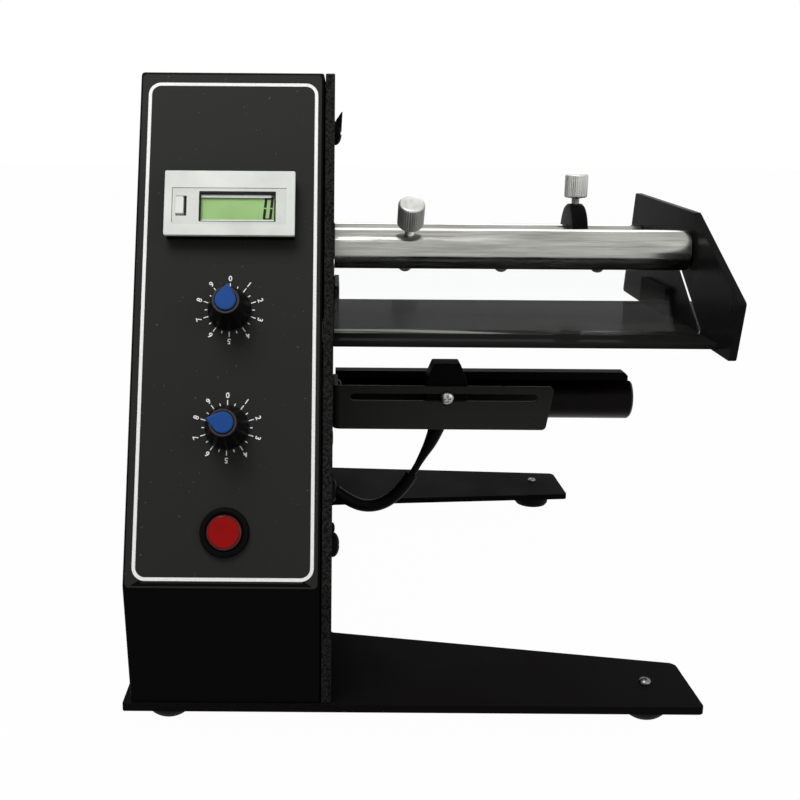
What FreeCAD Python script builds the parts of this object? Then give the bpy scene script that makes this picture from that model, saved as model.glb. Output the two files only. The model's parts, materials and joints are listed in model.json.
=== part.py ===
import FreeCAD, Part
import math
import os
import re

import Sketcher

# Label dispenser: a leaning control housing with a peel table, press flap and take-up spindle beside it.
#
# Millimetres. X runs from the housing towards the end plate, Y from the front to the back and Z up.
# Formulas below measure X from the outer face of the side plate, Y from the front edge of the base plate
# and Z from the desk. The part's own origin lies on the desk under the middle of the machine.

DOC = FreeCAD.newDocument("LabelDispenser")
V = FreeCAD.Vector

SIZES = [
    # Base plate and feet
    ("base_gauge", 3, "thickness of the base plate"),
    ("base_depth", 272, "base plate, front to back"),
    ("base_lip", 2.8, "base plate beyond the left wall of the housing"),
    ("beam_reach", 132, "beams, out from the side plate"),
    ("front_root", 56, "front beam, width at the side plate"),
    ("front_tip", 32, "front beam, width at its end"),
    ("rear_root", 58, "rear beam, width at the side plate"),
    ("rear_tip", 36.7, "rear beam, width at its end"),
    ("rear_setback", 8.7, "rear beam, how far its end steps in from the back"),
    ("beam_corner", 4, "rounding of the base plate's corners"),
    ("foot_height", 11, "rubber foot"),
    ("foot_width", 19.5, "rubber foot"),
    ("foot_inset", 14.4, "foot centres from the ends of the plate"),
    ("foot_front", 17.6, "front feet from the front edge"),
    ("foot_rear", 22, "rear feet from the back edge"),
    # Housing
    ("side_gauge", 3.5, "thickness of the coated side plate"),
    ("seam_gap", 0.5, "seam between shell and side plate"),
    ("shell_width", 68, "housing shell, left to right"),
    ("shell_wall", 1.5, "sheet of the housing shell"),
    ("chin_inset", 6.6, "foot of the chin from the front edge of the base"),
    ("ridge_overhang", 5.5, "ridge above the chin, in front of the base"),
    ("ridge_height", 61.5, "ridge above the desk"),
    ("roof_height", 235, "roof above the desk"),
    ("panel_lean", 22.4, "degrees that the panel leans back"),
    ("roof_back", 170, "back end of the flat roof"),
    ("back_inset", 7, "back wall from the back edge of the base"),
    ("shoulder_height", 150, "where the back slope meets the back wall"),
    ("bend_radius", 2.5, "bends of the shell and corners of the side plate"),
    ("flange_width", 14, "inner foot of the side plate"),
    ("flange_margin", 22, "ends of that foot from the front and back edges"),
    ("tab_width", 16, "screw tabs of the shell"),
    ("tab_depth", 26, "how far the tabs reach in from the walls"),
    ("tab_high_inset", 20, "middle of the upper front tab behind the panel"),
    ("tab_rise", 4.5, "lower front tab above the ridge"),
    ("tab_drop", 22, "upper front tab below the roof"),
    ("tab_rear_low", 40, "lower rear tab above the desk"),
    ("tab_rear_drop", 12, "upper rear tab below the shoulder"),
    # Control panel, measured up its slope from the ridge
    ("overlay_gauge", 0.4, "printed panel film"),
    ("overlay_margin", 1, "film from the edges of the panel"),
    ("overlay_corner", 5, "corners of the film"),
    ("button_up", 18.7, "power button"),
    ("counter_drop", 52.56, "counter, down from the panel's upper edge"),
    ("speed_place", 0.3131, "speed dial, share of the way from power button to counter"),
    ("length_place", 0.6765, "length dial, share of the way from power button to counter"),
    ("dial_shift", 0.9, "dials and power button, right of the panel's middle"),
    ("counter_width", 48, "counter bezel"),
    ("counter_tall", 24, "counter bezel"),
    ("counter_rise", 6.5, "counter bezel in front of the film"),
    ("counter_border", 1.5, "bezel wall around the case"),
    ("counter_front", 2.3, "front wall of the bezel"),
    ("counter_depth", 42, "counter case behind the film"),
    ("counter_corner", 1.2, "corners of the bezel"),
    ("display_across", 2.9, "display, right of the counter's middle"),
    ("display_drop", 1.4, "display, below the counter's middle"),
    ("display_width", 27.2, "display opening"),
    ("display_tall", 10.8, "display opening"),
    ("display_gauge", 1.2, "display glass"),
    ("display_gap", 0.1, "display and case inside the bezel"),
    ("display_recess", 0.8, "case behind the bezel's front wall"),
    ("window_gauge", 0.8, "display window"),
    ("reset_across", 17.9, "reset button, left of the counter's middle"),
    ("reset_drop", 1, "reset button, below the counter's middle"),
    ("reset_width", 3.2, "reset button"),
    ("reset_tall", 6.2, "reset button"),
    ("reset_proud", 0.6, "reset button in front of the bezel"),
    ("reset_travel", 0.8, "how far the reset button is pressed"),
    ("clip_wall", 2.6, "counter fixing clip"),
    ("clip_length", 7, "counter fixing clip"),
    ("bushing_width", 7, "threaded bushing of a dial's potentiometer"),
    ("bushing_rise", 2.6, "bushing in front of the film"),
    ("pot_width", 16.5, "potentiometer case"),
    ("pot_depth", 9, "potentiometer case"),
    ("pot_floor", 1.2, "floor of the potentiometer case"),
    ("pot_shaft", 6, "dial shaft"),
    ("knob_width", 15.6, "dial knob at its skirt"),
    ("knob_top", 9.8, "dial knob at its top"),
    ("knob_height", 15.4, "dial knob above the film"),
    ("knob_hollow", 12, "hollow under the knob"),
    ("knob_gap", 0.8, "running gap under the knob"),
    ("cap_width", 7.4, "round part of a knob's pointer cap"),
    ("cap_tip", 6, "point of the cap from the knob's middle"),
    ("cap_gauge", 1.2, "pointer cap"),
    ("length_pointer", 8, "length dial at rest, degrees clockwise from straight up"),
    ("speed_pointer", -76, "speed dial at rest, degrees clockwise from straight up"),
    ("switch_width", 15.8, "power switch barrel"),
    ("switch_depth", 27, "power switch barrel"),
    ("ring_width", 17.3, "ring round the power button"),
    ("ring_height", 2.2, "ring round the power button"),
    ("lens_width", 12.5, "power button"),
    ("lens_rise", 3.8, "power button in front of the film"),
    ("lens_hold", 4, "power button behind the film"),
    ("lens_travel", 2.5, "how far the power button is pressed"),
    # Rods, press tube and flap
    ("rod_reach", 150, "inner face of the end plate from the side plate"),
    ("rod_width", 10, "fixed rods"),
    ("press_y", 105.7, "press rod from the front edge"),
    ("press_rise", 31.5, "press rod above the table"),
    ("rear_y", 178.6, "rear rod from the front edge"),
    ("rear_rise", 30.9, "rear rod above the table"),
    ("rod_head", 10.5, "screw heads at the outer ends of the rods"),
    ("rod_screw_rise", 3.6, "those screw heads"),
    ("tube_width", 17, "press tube"),
    ("end_gap", 1, "running gap at the ends of tube and flap"),
    ("flap_tilt", 34.6, "slope of the resting flap, degrees"),
    ("flap_gauge", 2, "clear flap"),
    ("flap_seat", 0.05, "seating gap between flap and tube"),
    ("flap_tail", 4.5, "flap behind the line where it meets the tube"),
    ("flap_inset", 0.5, "flap's ends inside the tube's"),
    ("flap_corner", 1.5, "corners of the flap"),
    ("flap_gap", 0.2, "flap's edge over the table"),
    ("thumb_head", 11, "knurled head"),
    ("thumb_height", 11.4, "knurled head"),
    ("thumb_thread", 4, "threaded stem of a knurled screw"),
    ("tip_gap", 0.2, "tip of a knurled screw from its rod"),
    ("press_thumb_x", 31.5, "knurled screw in the press tube"),
    ("press_thumb_rise", 4.3, "its head above the tube"),
    ("collar_x", 113.7, "left face of the edge collar"),
    ("collar_width", 30, "edge collar"),
    ("collar_gauge", 7.4, "edge collar"),
    ("collar_thumb_rise", 2.8, "head of the collar's screw above the collar"),
    # Peel table and end plate
    ("table_top", 134.5, "top of the peel table above the desk"),
    ("table_gauge", 2.5, "sheet of the peel table"),
    ("table_front", 62.6, "front edge of the table"),
    ("table_back", 165, "back edge of the table"),
    ("ear_length", 38, "table's fixing ears"),
    ("ear_inset", 2, "ears from the table's back edge"),
    ("ear_height", 12, "table's fixing ears"),
    ("end_gauge", 3, "end plate"),
    ("end_low_lead", 12.6, "lower front corner of the end plate, in front of the table"),
    ("end_lead", 17.6, "foremost corner of the end plate, in front of the table"),
    ("end_lead_rise", 18.5, "foremost corner above the table"),
    ("end_top_lead", 2.7, "upper front corner, in front of the press rod"),
    ("end_top_rise", 16, "upper front corner above the press rod"),
    ("end_rear_margin", 12.4, "upper back corner behind the rear rod"),
    ("end_rear_rise", 19.6, "upper back corner above the rear rod"),
    ("end_rear_foot", 23.4, "lower back corner behind the rear rod"),
    ("end_drop", 4.5, "bottom edge of the end plate below the table's top"),
    ("end_skew", 4, "how much higher its lower back corner is"),
    ("end_corner", 1.5, "corners of the end plate"),
    # Take-up drive
    ("takeup_y", 126.5, "take-up axis from the front edge"),
    ("takeup_drop", 38, "take-up axis below the table"),
    ("spindle_width", 19.3, "take-up spindle"),
    ("spindle_end", 135, "outer end of the take-up spindle"),
    ("spindle_start", 2, "inner end of the take-up spindle"),
    ("spindle_edge", 1, "outer edge of the take-up spindle"),
    ("keyway_mouth", 7.6, "dovetail groove at the surface"),
    ("keyway_floor", 9.4, "dovetail groove at its floor"),
    ("keyway_depth", 3.4, "dovetail groove"),
    ("slide_gap", 0.25, "running gap round sliding pieces"),
    ("paper_clip_rise", 2.6, "paper clip above the spindle"),
    ("clip_inset", 1.7, "outer end of the paper clip from the spindle's"),
    ("shaft_width", 8, "drive shaft"),
    ("shaft_in", 22, "drive shaft inside the gearbox"),
    ("shaft_out", 30, "drive shaft inside the spindle"),
    ("bush_width", 16, "spindle bush in the side plate"),
    ("bush_rise", 1.5, "that bush in front of the side plate"),
    ("gearbox_width", 60, "square gearbox"),
    ("gearbox_depth", 26, "gearbox"),
    ("motor_width", 54, "motor"),
    ("motor_corner", 14, "bevelled corners of the motor"),
    ("motor_gap", 9, "motor from the left wall"),
    # Label sensor
    ("bracket_y", 83.7, "front face of the sensor bracket"),
    ("bracket_drop", 23.2, "upper edge of the bracket below the table"),
    ("bracket_tall", 18.6, "bracket"),
    ("bracket_gauge", 2, "sheet of the bracket"),
    ("bracket_reach", 92, "bracket at its upper edge"),
    ("bracket_skew", 3, "how much shorter the lower edge is"),
    ("bracket_foot", 22, "bracket's foot on the side plate"),
    ("bracket_bend", 3, "outer radius of the bracket's bend"),
    ("bracket_corner", 2, "outer corners of the bracket"),
    ("slot_start", 7.2, "left end of the slot"),
    ("slot_margin", 7, "right end of the slot from the end of the bracket"),
    ("slot_drop", 4.8, "slot below the bracket's upper edge"),
    ("slot_width", 3.2, "slot"),
    ("sensor_x", 47.4, "sensor's lock screw"),
    ("sensor_top_width", 11, "top of the sensor head"),
    ("sensor_base_width", 17, "sensor head"),
    ("sensor_lift", 0.3, "bottom of the sensor head above the bracket's lower edge"),
    ("sensor_waist_rise", 1.7, "start of the head's taper above the bracket"),
    ("sensor_taper", 7.3, "tapered top of the head"),
    ("sensor_depth", 11, "sensor head, front to back"),
    ("sensor_gap", 0.2, "sensor head behind the bracket"),
    ("lock_bore", 6, "hole for the lock screw"),
    ("lead_width", 3, "thin sensor lead"),
    ("cable_width", 5.4, "jacketed sensor cable"),
    ("grommet_y", 98, "cable grommet"),
    ("grommet_z", 60.6, "cable grommet"),
    ("grommet_width", 10, "flange of the grommet"),
    ("grommet_neck", 8, "grommet inside the side plate"),
    ("grommet_rim", 1.6, "flange of the grommet"),
    # Supply spindle
    ("supply_inset", 22, "supply axis from the back edge"),
    ("supply_z", 107, "supply axis above the desk"),
    ("supply_width", 24, "supply spindle"),
    ("supply_reach", 150, "outer end of the supply spindle"),
    ("supply_shoulder", 26, "shoulder of the supply spindle"),
    ("supply_rim", 3, "shoulder of the supply spindle"),
    ("supply_stop", 17, "head of the axle, which keeps the spindle on"),
    ("supply_stop_gauge", 3, "head of the axle"),
    ("supply_play", 0.5, "spindle between side plate and head"),
    # Inside the housing
    ("board_width", 64, "control board, front to back"),
    ("board_tall", 54, "control board"),
    ("board_y", 28, "front edge of the control board"),
    ("board_rise", 6, "lower edge of the control board above the base"),
    ("board_gauge", 1.6, "control board"),
    ("chip_rise", 9, "components on the control board"),
    ("rail_depth", 8, "rails that carry the control board"),
    ("rail_width", 5, "rails that carry the control board"),
    ("core_depth", 50, "transformer core, front to back"),
    ("core_tall", 42, "transformer core"),
    ("core_inset", 47, "back of the transformer core from the back wall"),
    ("core_side", 3, "transformer from the side plate's foot"),
    ("core_gap", 8, "transformer from the left wall"),
    ("coil_bulge", 9, "transformer coil beyond the core"),
    ("inlet_height", 40, "power inlet above the desk"),
    ("inlet_width", 27.6, "power inlet's body"),
    ("inlet_tall", 20, "power inlet's body"),
    ("inlet_depth", 24, "power inlet's body inside the wall"),
    ("inlet_flange", 40, "power inlet's flange"),
    ("inlet_rim", 2.5, "power inlet's flange"),
    ("inlet_wall", 2.5, "walls round the power inlet's socket"),
    ("blade_width", 2, "blades in the power inlet"),
    ("blade_pitch", 6.5, "blades in the power inlet"),
    ("blade_drop", 1.5, "outer blades below the middle"),
    ("inlet_cavity", 16, "depth of the power inlet's socket"),
    # Lock screw and running gaps
    ("lock_thread", 3, "sensor's lock screw"),
    ("lock_head", 5.7, "sensor's lock screw"),
    ("lock_head_rise", 1.9, "sensor's lock screw"),
    ("lock_reach", 5, "lock screw behind the bracket"),
    ("run_gap", 0.08, "shaft in its bore, radial"),
    ("slip_gap", 0.3, "round sliding faces and panel cut-outs"),
]

SHEET = DOC.addObject("Spreadsheet::Sheet", "Sizes")
for row, (alias, size, meaning) in enumerate(SIZES, start=1):
    SHEET.set(f"A{row}", meaning)
    SHEET.set(f"B{row}", str(size))
    SHEET.setAlias(f"B{row}", alias)
DOC.recompute()

SIZE_NAMES = {alias for alias, size, meaning in SIZES}

# Places that follow from the sizes.
PLACES = {
    "tab_low": "(ridge_height + tab_rise)",
    "tab_high": "(roof_height - tab_drop)",
    "tab_rear_high": "(shoulder_height - tab_rear_drop)",
    "counter_up": "((roof_height - ridge_height) / cos(panel_lean) - counter_drop)",
    "speed_up": "(button_up + (counter_up - button_up) * speed_place)",
    "length_up": "(button_up + (counter_up - button_up) * length_place)",
    "press_z": "(table_top + press_rise)",
    "rear_z": "(table_top + rear_rise)",
    "takeup_z": "(table_top - takeup_drop)",
    "bracket_high": "(table_top - bracket_drop)",
    "bracket_low": "(bracket_high - bracket_tall)",
    "slot_height": "(bracket_high - slot_drop)",
    "slot_end": "(bracket_reach - slot_margin)",
    "sensor_low": "(bracket_low + sensor_lift)",
    "sensor_waist": "(bracket_high + sensor_waist_rise)",
    "sensor_high": "(sensor_waist + sensor_taper)",
    "supply_y": "(base_depth - supply_inset)",
    "paper_clip_end": "(spindle_end - clip_inset)",
    "board_z": "(foot_height + base_gauge + board_rise)",
    "core_front": "(base_depth - back_inset - core_inset - core_depth)",
    "core_width": "(seam_gap + shell_width - shell_wall - core_gap - flange_width - core_side)",
    "motor_end": "(side_gauge + seam_gap + shell_width - shell_wall - motor_gap)",
}


def formula(text):
    """Write out the named places of a formula and point its size names at their cells in the sheet."""
    def cell(word):
        name = word.group(0)
        if name in PLACES:
            return formula(PLACES[name])
        return "Sizes." + name if name in SIZE_NAMES else name
    return re.sub(r"[a-z]+(?:_[a-z]+)*", cell, str(text))


def value(text):
    """The number that a formula gives."""
    result = SHEET.evalExpression(formula(text))
    return float(getattr(result, "Value", result))


# Places that several pieces share, as formulas of the sizes.
DECK = "(foot_height + base_gauge)"
INNER = "(0 - side_gauge)"
SHELL_LEFT = "(0 - side_gauge - seam_gap - shell_width)"
PANEL_MIDDLE = "(0 - side_gauge - seam_gap - shell_width / 2)"
DIAL_MIDDLE = "(0 - side_gauge - seam_gap - shell_width / 2 + dial_shift)"
BASE_LEFT = "(0 - side_gauge - seam_gap - shell_width - base_lip)"
BACK = "(base_depth - back_inset)"
ROOF_FRONT = "((roof_height - ridge_height) * tan(panel_lean) - ridge_overhang)"
PANEL_SLOPE = "((roof_height - ridge_height) / cos(panel_lean))"
END_FACE = "(rod_reach + end_gauge)"
MIDDLE_X = f"(({END_FACE} + rod_screw_rise + {BASE_LEFT}) / 2)"
MIDDLE_Y = "((base_depth - ridge_overhang) / 2)"
NEAR = 1e-4

TURNS = {
    "up": (V(1, 0, 0), 0),
    "down": (V(1, 0, 0), 180),
    "right": (V(0, 1, 0), 90),
    "left": (V(0, -1, 0), 90),
    "front": (V(1, 0, 0), 90),
    "back": (V(-1, 0, 0), 90),
}


def bind(item, target, text):
    """Tie one property to a formula of the sizes."""
    item.setExpression(target, formula(text))


def move(item, x, y, z):
    """Tie an item's position to formulas."""
    bind(item, "Placement.Base.x", x)
    bind(item, "Placement.Base.y", y)
    bind(item, "Placement.Base.z", z)


def locate(item, x, y, z, facing="up"):
    """Place a sub-part, its own Z axis facing one of the main directions."""
    axis, angle = TURNS[facing]
    item.Placement = FreeCAD.Placement(V(), FreeCAD.Rotation(axis, angle))
    move(item, f"{x} - {MIDDLE_X}", f"{y} - {MIDDLE_Y}", z)


def tilt(item, x, y, z, degrees):
    """Place a sub-part turned about X, so that its own Z leans to the front from straight up."""
    item.Placement = FreeCAD.Placement(V(), FreeCAD.Rotation(V(1, 0, 0), value(degrees)))
    bind(item, "Placement.Rotation.Angle", degrees)
    move(item, f"{x} - {MIDDLE_X}", f"{y} - {MIDDLE_Y}", z)


def on_panel(item, across, up, out="0"):
    """Place a sub-part on the leaning panel: its X runs across, its Y up the slope, its Z outwards."""
    y = f"(({up}) * sin(panel_lean) - ({out}) * cos(panel_lean) - ridge_overhang)"
    z = f"(({up}) * cos(panel_lean) + ({out}) * sin(panel_lean) + ridge_height)"
    tilt(item, across, y, z, "90 - panel_lean")


def on_flap(item, x, out="0"):
    """Place a sub-part on the press axis: its Y runs back up the resting flap, its Z off the flap."""
    y = f"(press_y - ({out}) * sin(flap_tilt))"
    z = f"(press_z + ({out}) * cos(flap_tilt))"
    tilt(item, x, y, z, "flap_tilt")


SUB_PARTS = []


def keep(item):
    """List an item as a sub-part of the machine."""
    SUB_PARTS.append(item)
    return item


def new_body(label):
    return DOC.addObject("PartDesign::Body", label)


def sketch_on(host, plane, lift="0"):
    """An empty sketch on one of the body's own origin planes, raised along its normal."""
    sketch = host.newObject("Sketcher::SketchObject", f"{host.Name}_sketch")
    support = next(item for item in host.Origin.OriginFeatures if item.Role == plane)
    sketch.AttachmentSupport = [(support, "")]
    sketch.MapMode = "FlatFace"
    bind(sketch, "AttachmentOffset.Base.z", lift)
    return sketch


def tie(sketch, geometry, point, u, v):
    """Tie one point of a sketch to formulas for its two coordinates."""
    for kind, text in (("DistanceX", u), ("DistanceY", v)):
        name = f"{kind}_{geometry}_{point}"
        index = sketch.addConstraint(Sketcher.Constraint(kind, -1, 1, geometry, point, value(text)))
        sketch.renameConstraint(index, name)
        bind(sketch, f"Constraints.{name}", text)


def add_outline(sketch, points):
    """Add a closed outline of straight lines."""
    first = sketch.GeometryCount
    ends = [V(value(u), value(v), 0) for u, v in points]
    for start, end in zip(ends, ends[1:] + ends[:1]):
        sketch.addGeometry(Part.LineSegment(start, end), False)
    for index in range(len(points)):
        following = (index + 1) % len(points)
        sketch.addConstraint(Sketcher.Constraint("Coincident", first + index, 2, first + following, 1))
    for index, (u, v) in enumerate(points):
        tie(sketch, first + index, 1, u, v)


def add_circle(sketch, u, v, width):
    """Add a circle of a given width."""
    index = sketch.GeometryCount
    sketch.addGeometry(Part.Circle(V(value(u), value(v), 0), V(0, 0, 1), value(width) / 2), False)
    tie(sketch, index, 3, u, v)
    name = f"width_{index}"
    constraint = sketch.addConstraint(Sketcher.Constraint("Diameter", index, value(width)))
    sketch.renameConstraint(constraint, name)
    bind(sketch, f"Constraints.{name}", width)


def outline(host, plane, points, lift="0"):
    sketch = sketch_on(host, plane, lift)
    add_outline(sketch, points)
    return sketch


def circles(host, plane, rings, lift="0"):
    sketch = sketch_on(host, plane, lift)
    for u, v, width in rings:
        add_circle(sketch, u, v, width)
    return sketch


def box_points(left, low, right, high):
    """The corners of a rectangle."""
    return [(left, low), (right, low), (right, high), (left, high)]


def middle_points(u, v, width, tall):
    """The corners of a rectangle round a point."""
    half_width = f"({width}) / 2"
    half_tall = f"({tall}) / 2"
    return box_points(
        f"{u} - {half_width}", f"{v} - {half_tall}", f"{u} + {half_width}", f"{v} + {half_tall}")


def extrude(kind, host, sketch, length, side, reverse):
    feature = host.newObject(f"PartDesign::{kind}", f"{host.Name}_{kind.lower()}")
    feature.Profile = sketch
    feature.SideType = side
    feature.Reversed = reverse
    bind(feature, "Length", length)
    DOC.recompute()
    return feature


def pad(host, sketch, length, side="One side", reverse=False):
    return extrude("Pad", host, sketch, length, side, reverse)


def pocket(host, sketch, length, side="Symmetric", reverse=False):
    return extrude("Pocket", host, sketch, length, side, reverse)


def turned(label, points):
    """A body turned round its own Z axis, from the radius and height of each corner of its section."""
    host = new_body(label)
    turn = host.newObject("PartDesign::Revolution", f"{host.Name}_turn")
    sketch = outline(host, "XZ_Plane", points)
    turn.Profile = sketch
    turn.ReferenceAxis = (sketch, ["V_Axis"])
    turn.Angle = 360
    host.Tip = turn
    DOC.recompute()
    return host


def edges_of(host, wanted):
    """The names of a body's edges that a test picks."""
    return [f"Edge{index}" for index, edge in enumerate(host.Shape.Edges, start=1) if wanted(edge)]


def along(axis, test=None):
    """A test for straight edges that run along an axis."""
    def wanted(edge):
        if not isinstance(edge.Curve, Part.Line):
            return False
        if abs(abs(edge.tangentAt(edge.FirstParameter).dot(axis)) - 1) > NEAR:
            return False
        return test is None or test(edge.CenterOfMass)
    return wanted


def dress(kind, target, host, wanted, size):
    """Round or bevel the edges that a test picks."""
    base = host.Tip
    feature = host.newObject(f"PartDesign::{kind}", f"{host.Name}_{kind.lower()}")
    feature.Base = (base, edges_of(host, wanted))
    bind(feature, target, size)
    DOC.recompute()


def fillet(host, wanted, radius):
    dress("Fillet", "Radius", host, wanted, radius)


def chamfer(host, wanted, size):
    dress("Chamfer", "Size", host, wanted, size)


X_WAY = V(1, 0, 0)
Y_WAY = V(0, 1, 0)
Z_WAY = V(0, 0, 1)


def at(master, places):
    """Places of one piece: each is x, y, z and the way the piece faces."""
    return [(master, *place) for place in places]


def copies(label, places):
    """One sub-part made of copies of small pieces."""
    links = []
    for master, x, y, z, facing in places:
        link = DOC.addObject("App::Link", f"{label}_copy")
        link.LinkedObject = master
        link.LinkTransform = False
        axis, angle = TURNS[facing]
        link.Placement = FreeCAD.Placement(V(), FreeCAD.Rotation(axis, angle))
        move(link, x, y, z)
        links.append(link)
    group = DOC.addObject("Part::Compound", label)
    group.Links = links
    locate(group, "0", "0", "0")
    return keep(group)


FOOT_PLACES = [
    (x, y)
    for x in (f"({BASE_LEFT} + foot_inset)", "(beam_reach - foot_inset)")
    for y in ("foot_front", "(base_depth - foot_rear)")
]


def side_outline():
    """The housing seen from the side: chin, leaning panel, roof, back slope and back wall."""
    return [
        ("chin_inset", DECK), ("0 - ridge_overhang", "ridge_height"), (ROOF_FRONT, "roof_height"),
        ("roof_back", "roof_height"), (BACK, "shoulder_height"), (BACK, DECK)]


def bend_test(point):
    """The bends lie above the foot of the housing."""
    return point.z > value(DECK) + value("base_gauge")


def make_base_plate():
    host = new_body("base_plate")
    inner_rear = "base_depth - rear_root"
    tip_back = "base_depth - rear_setback"
    plate = outline(host, "XY_Plane", [
        (BASE_LEFT, "0"), ("beam_reach", "0"), ("beam_reach", "front_tip"), ("0", "front_root"),
        ("0", inner_rear), ("beam_reach", f"{tip_back} - rear_tip"), ("beam_reach", tip_back),
        ("0", "base_depth"), (BASE_LEFT, "base_depth")])
    pad(host, plate, "base_gauge")
    fillet(host, along(Z_WAY), "beam_corner")
    locate(keep(host), "0", "0", "foot_height")


def make_feet():
    foot = turned("foot_master", [
        ("0", "0"), ("foot_width / 2", "0"), ("foot_width / 2", "foot_height"), ("0", "foot_height")])
    copies("rubber_feet", at(foot, [(x, y, "0", "up") for x, y in FOOT_PLACES]))


def make_side_plate():
    """The coated plate that carries rods, table, drive and sensor, with an inner foot on the base."""
    host = new_body("side_plate")
    pad(host, outline(host, "YZ_Plane", side_outline()), "side_gauge")
    fillet(host, along(X_WAY, bend_test), "bend_radius")
    foot = box_points("flange_margin", DECK, "base_depth - flange_margin", f"{DECK} + side_gauge")
    pad(host, outline(host, "YZ_Plane", foot), "flange_width", reverse=True)
    rings = [("takeup_y", "takeup_z", "bush_width"), ("grommet_y", "grommet_z", "grommet_neck")]
    pocket(host, circles(host, "YZ_Plane", rings), "side_gauge * 3")
    locate(keep(host), INNER, "0", "0")


def make_shell():
    """The folded housing: one sheet for front, roof and back with a left wall, open to the side plate."""
    host = new_body("housing_shell")
    pad(host, outline(host, "YZ_Plane", side_outline()), "shell_width")
    fillet(host, along(X_WAY, bend_test), "bend_radius")
    right = value("shell_width")
    open_faces = []
    for index, face in enumerate(host.Shape.Faces, start=1):
        is_right = abs(face.CenterOfMass.x - right) < NEAR
        is_floor = abs(face.CenterOfMass.z - value(DECK)) < NEAR
        if is_right or is_floor:
            open_faces.append(f"Face{index}")
    block = host.Tip
    skin = host.newObject("PartDesign::Thickness", "shell_skin")
    skin.Base = (block, open_faces)
    skin.Reversed = True
    skin.Join = "Intersection"
    bind(skin, "Value", "shell_wall")
    DOC.recompute()
    lift = "shell_width - shell_wall"
    front = "(0 - ridge_overhang)"
    low = "(tab_low - tab_width / 2)"
    high = "(tab_low + tab_width / 2)"
    middle = "((tab_high - ridge_height) * tan(panel_lean) - ridge_overhang + tab_high_inset)"
    tabs = [
        [(f"{front} + 0.6 * shell_wall", "ridge_height"), (f"{front} + tab_width / 2", low),
         ("tab_depth", low), ("tab_depth", high),
         (f"{front} + 0.6 * shell_wall + ({high} - ridge_height) * tan(panel_lean)", high)],
        box_points(f"{middle} - tab_width / 2", "tab_high - tab_width / 2",
                   f"{middle} + tab_width / 2", "roof_height - shell_wall / 2"),
    ]
    for z in ("tab_rear_low", "tab_rear_high"):
        tabs.append(box_points(f"{BACK} - tab_depth", f"{z} - tab_width / 2",
                               f"{BACK} - shell_wall / 2", f"{z} + tab_width / 2"))
    sketch = sketch_on(host, "YZ_Plane", lift)
    for points in tabs:
        add_outline(sketch, points)
    pad(host, sketch, "shell_wall")
    lean = FreeCAD.Rotation(X_WAY, 90 - value("panel_lean"))
    sketch = sketch_on(host, "XY_Plane")
    sketch.AttachmentOffset = FreeCAD.Placement(V(), lean)
    bind(sketch, "AttachmentOffset.Rotation.Angle", "90 - panel_lean")
    bind(sketch, "AttachmentOffset.Base.y", "0 - ridge_overhang")
    bind(sketch, "AttachmentOffset.Base.z", "ridge_height")
    cut_panel(host, sketch, "shell_width / 2", "0")
    inlet = middle_points("shell_width / 2", "inlet_height", "inlet_width", "inlet_tall")
    pocket(host, outline(host, "XZ_Plane", inlet, f"0 - {BACK}"), "shell_wall * 4")
    locate(keep(host), SHELL_LEFT, "0", "0")


def cut_panel(host, sketch, across, low):
    """Cut the openings for counter, dials and power button; the sketch starts low up the slope."""
    counter = middle_points(across, f"counter_up - {low}", "counter_width - counter_border * 2 + slip_gap",
                            "counter_tall - counter_border * 2 + slip_gap")
    add_outline(sketch, counter)
    shifted = f"({across} + dial_shift)"
    add_circle(sketch, shifted, f"length_up - {low}", "bushing_width + slip_gap")
    add_circle(sketch, shifted, f"speed_up - {low}", "bushing_width + slip_gap")
    add_circle(sketch, shifted, f"button_up - {low}", "switch_width + slip_gap")
    pocket(host, sketch, "shell_wall * 6")


def make_overlay():
    """The panel film, with openings for everything that passes through it."""
    host = new_body("panel_overlay")
    half = "(shell_width / 2 - overlay_margin)"
    film = box_points(f"0 - {half}", "0", half, f"{PANEL_SLOPE} - overlay_margin * 2")
    pad(host, outline(host, "XY_Plane", film), "overlay_gauge")
    fillet(host, along(Z_WAY), "overlay_corner")
    cut_panel(host, sketch_on(host, "XY_Plane"), "0", "overlay_margin")
    on_panel(keep(host), PANEL_MIDDLE, "overlay_margin")


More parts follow.
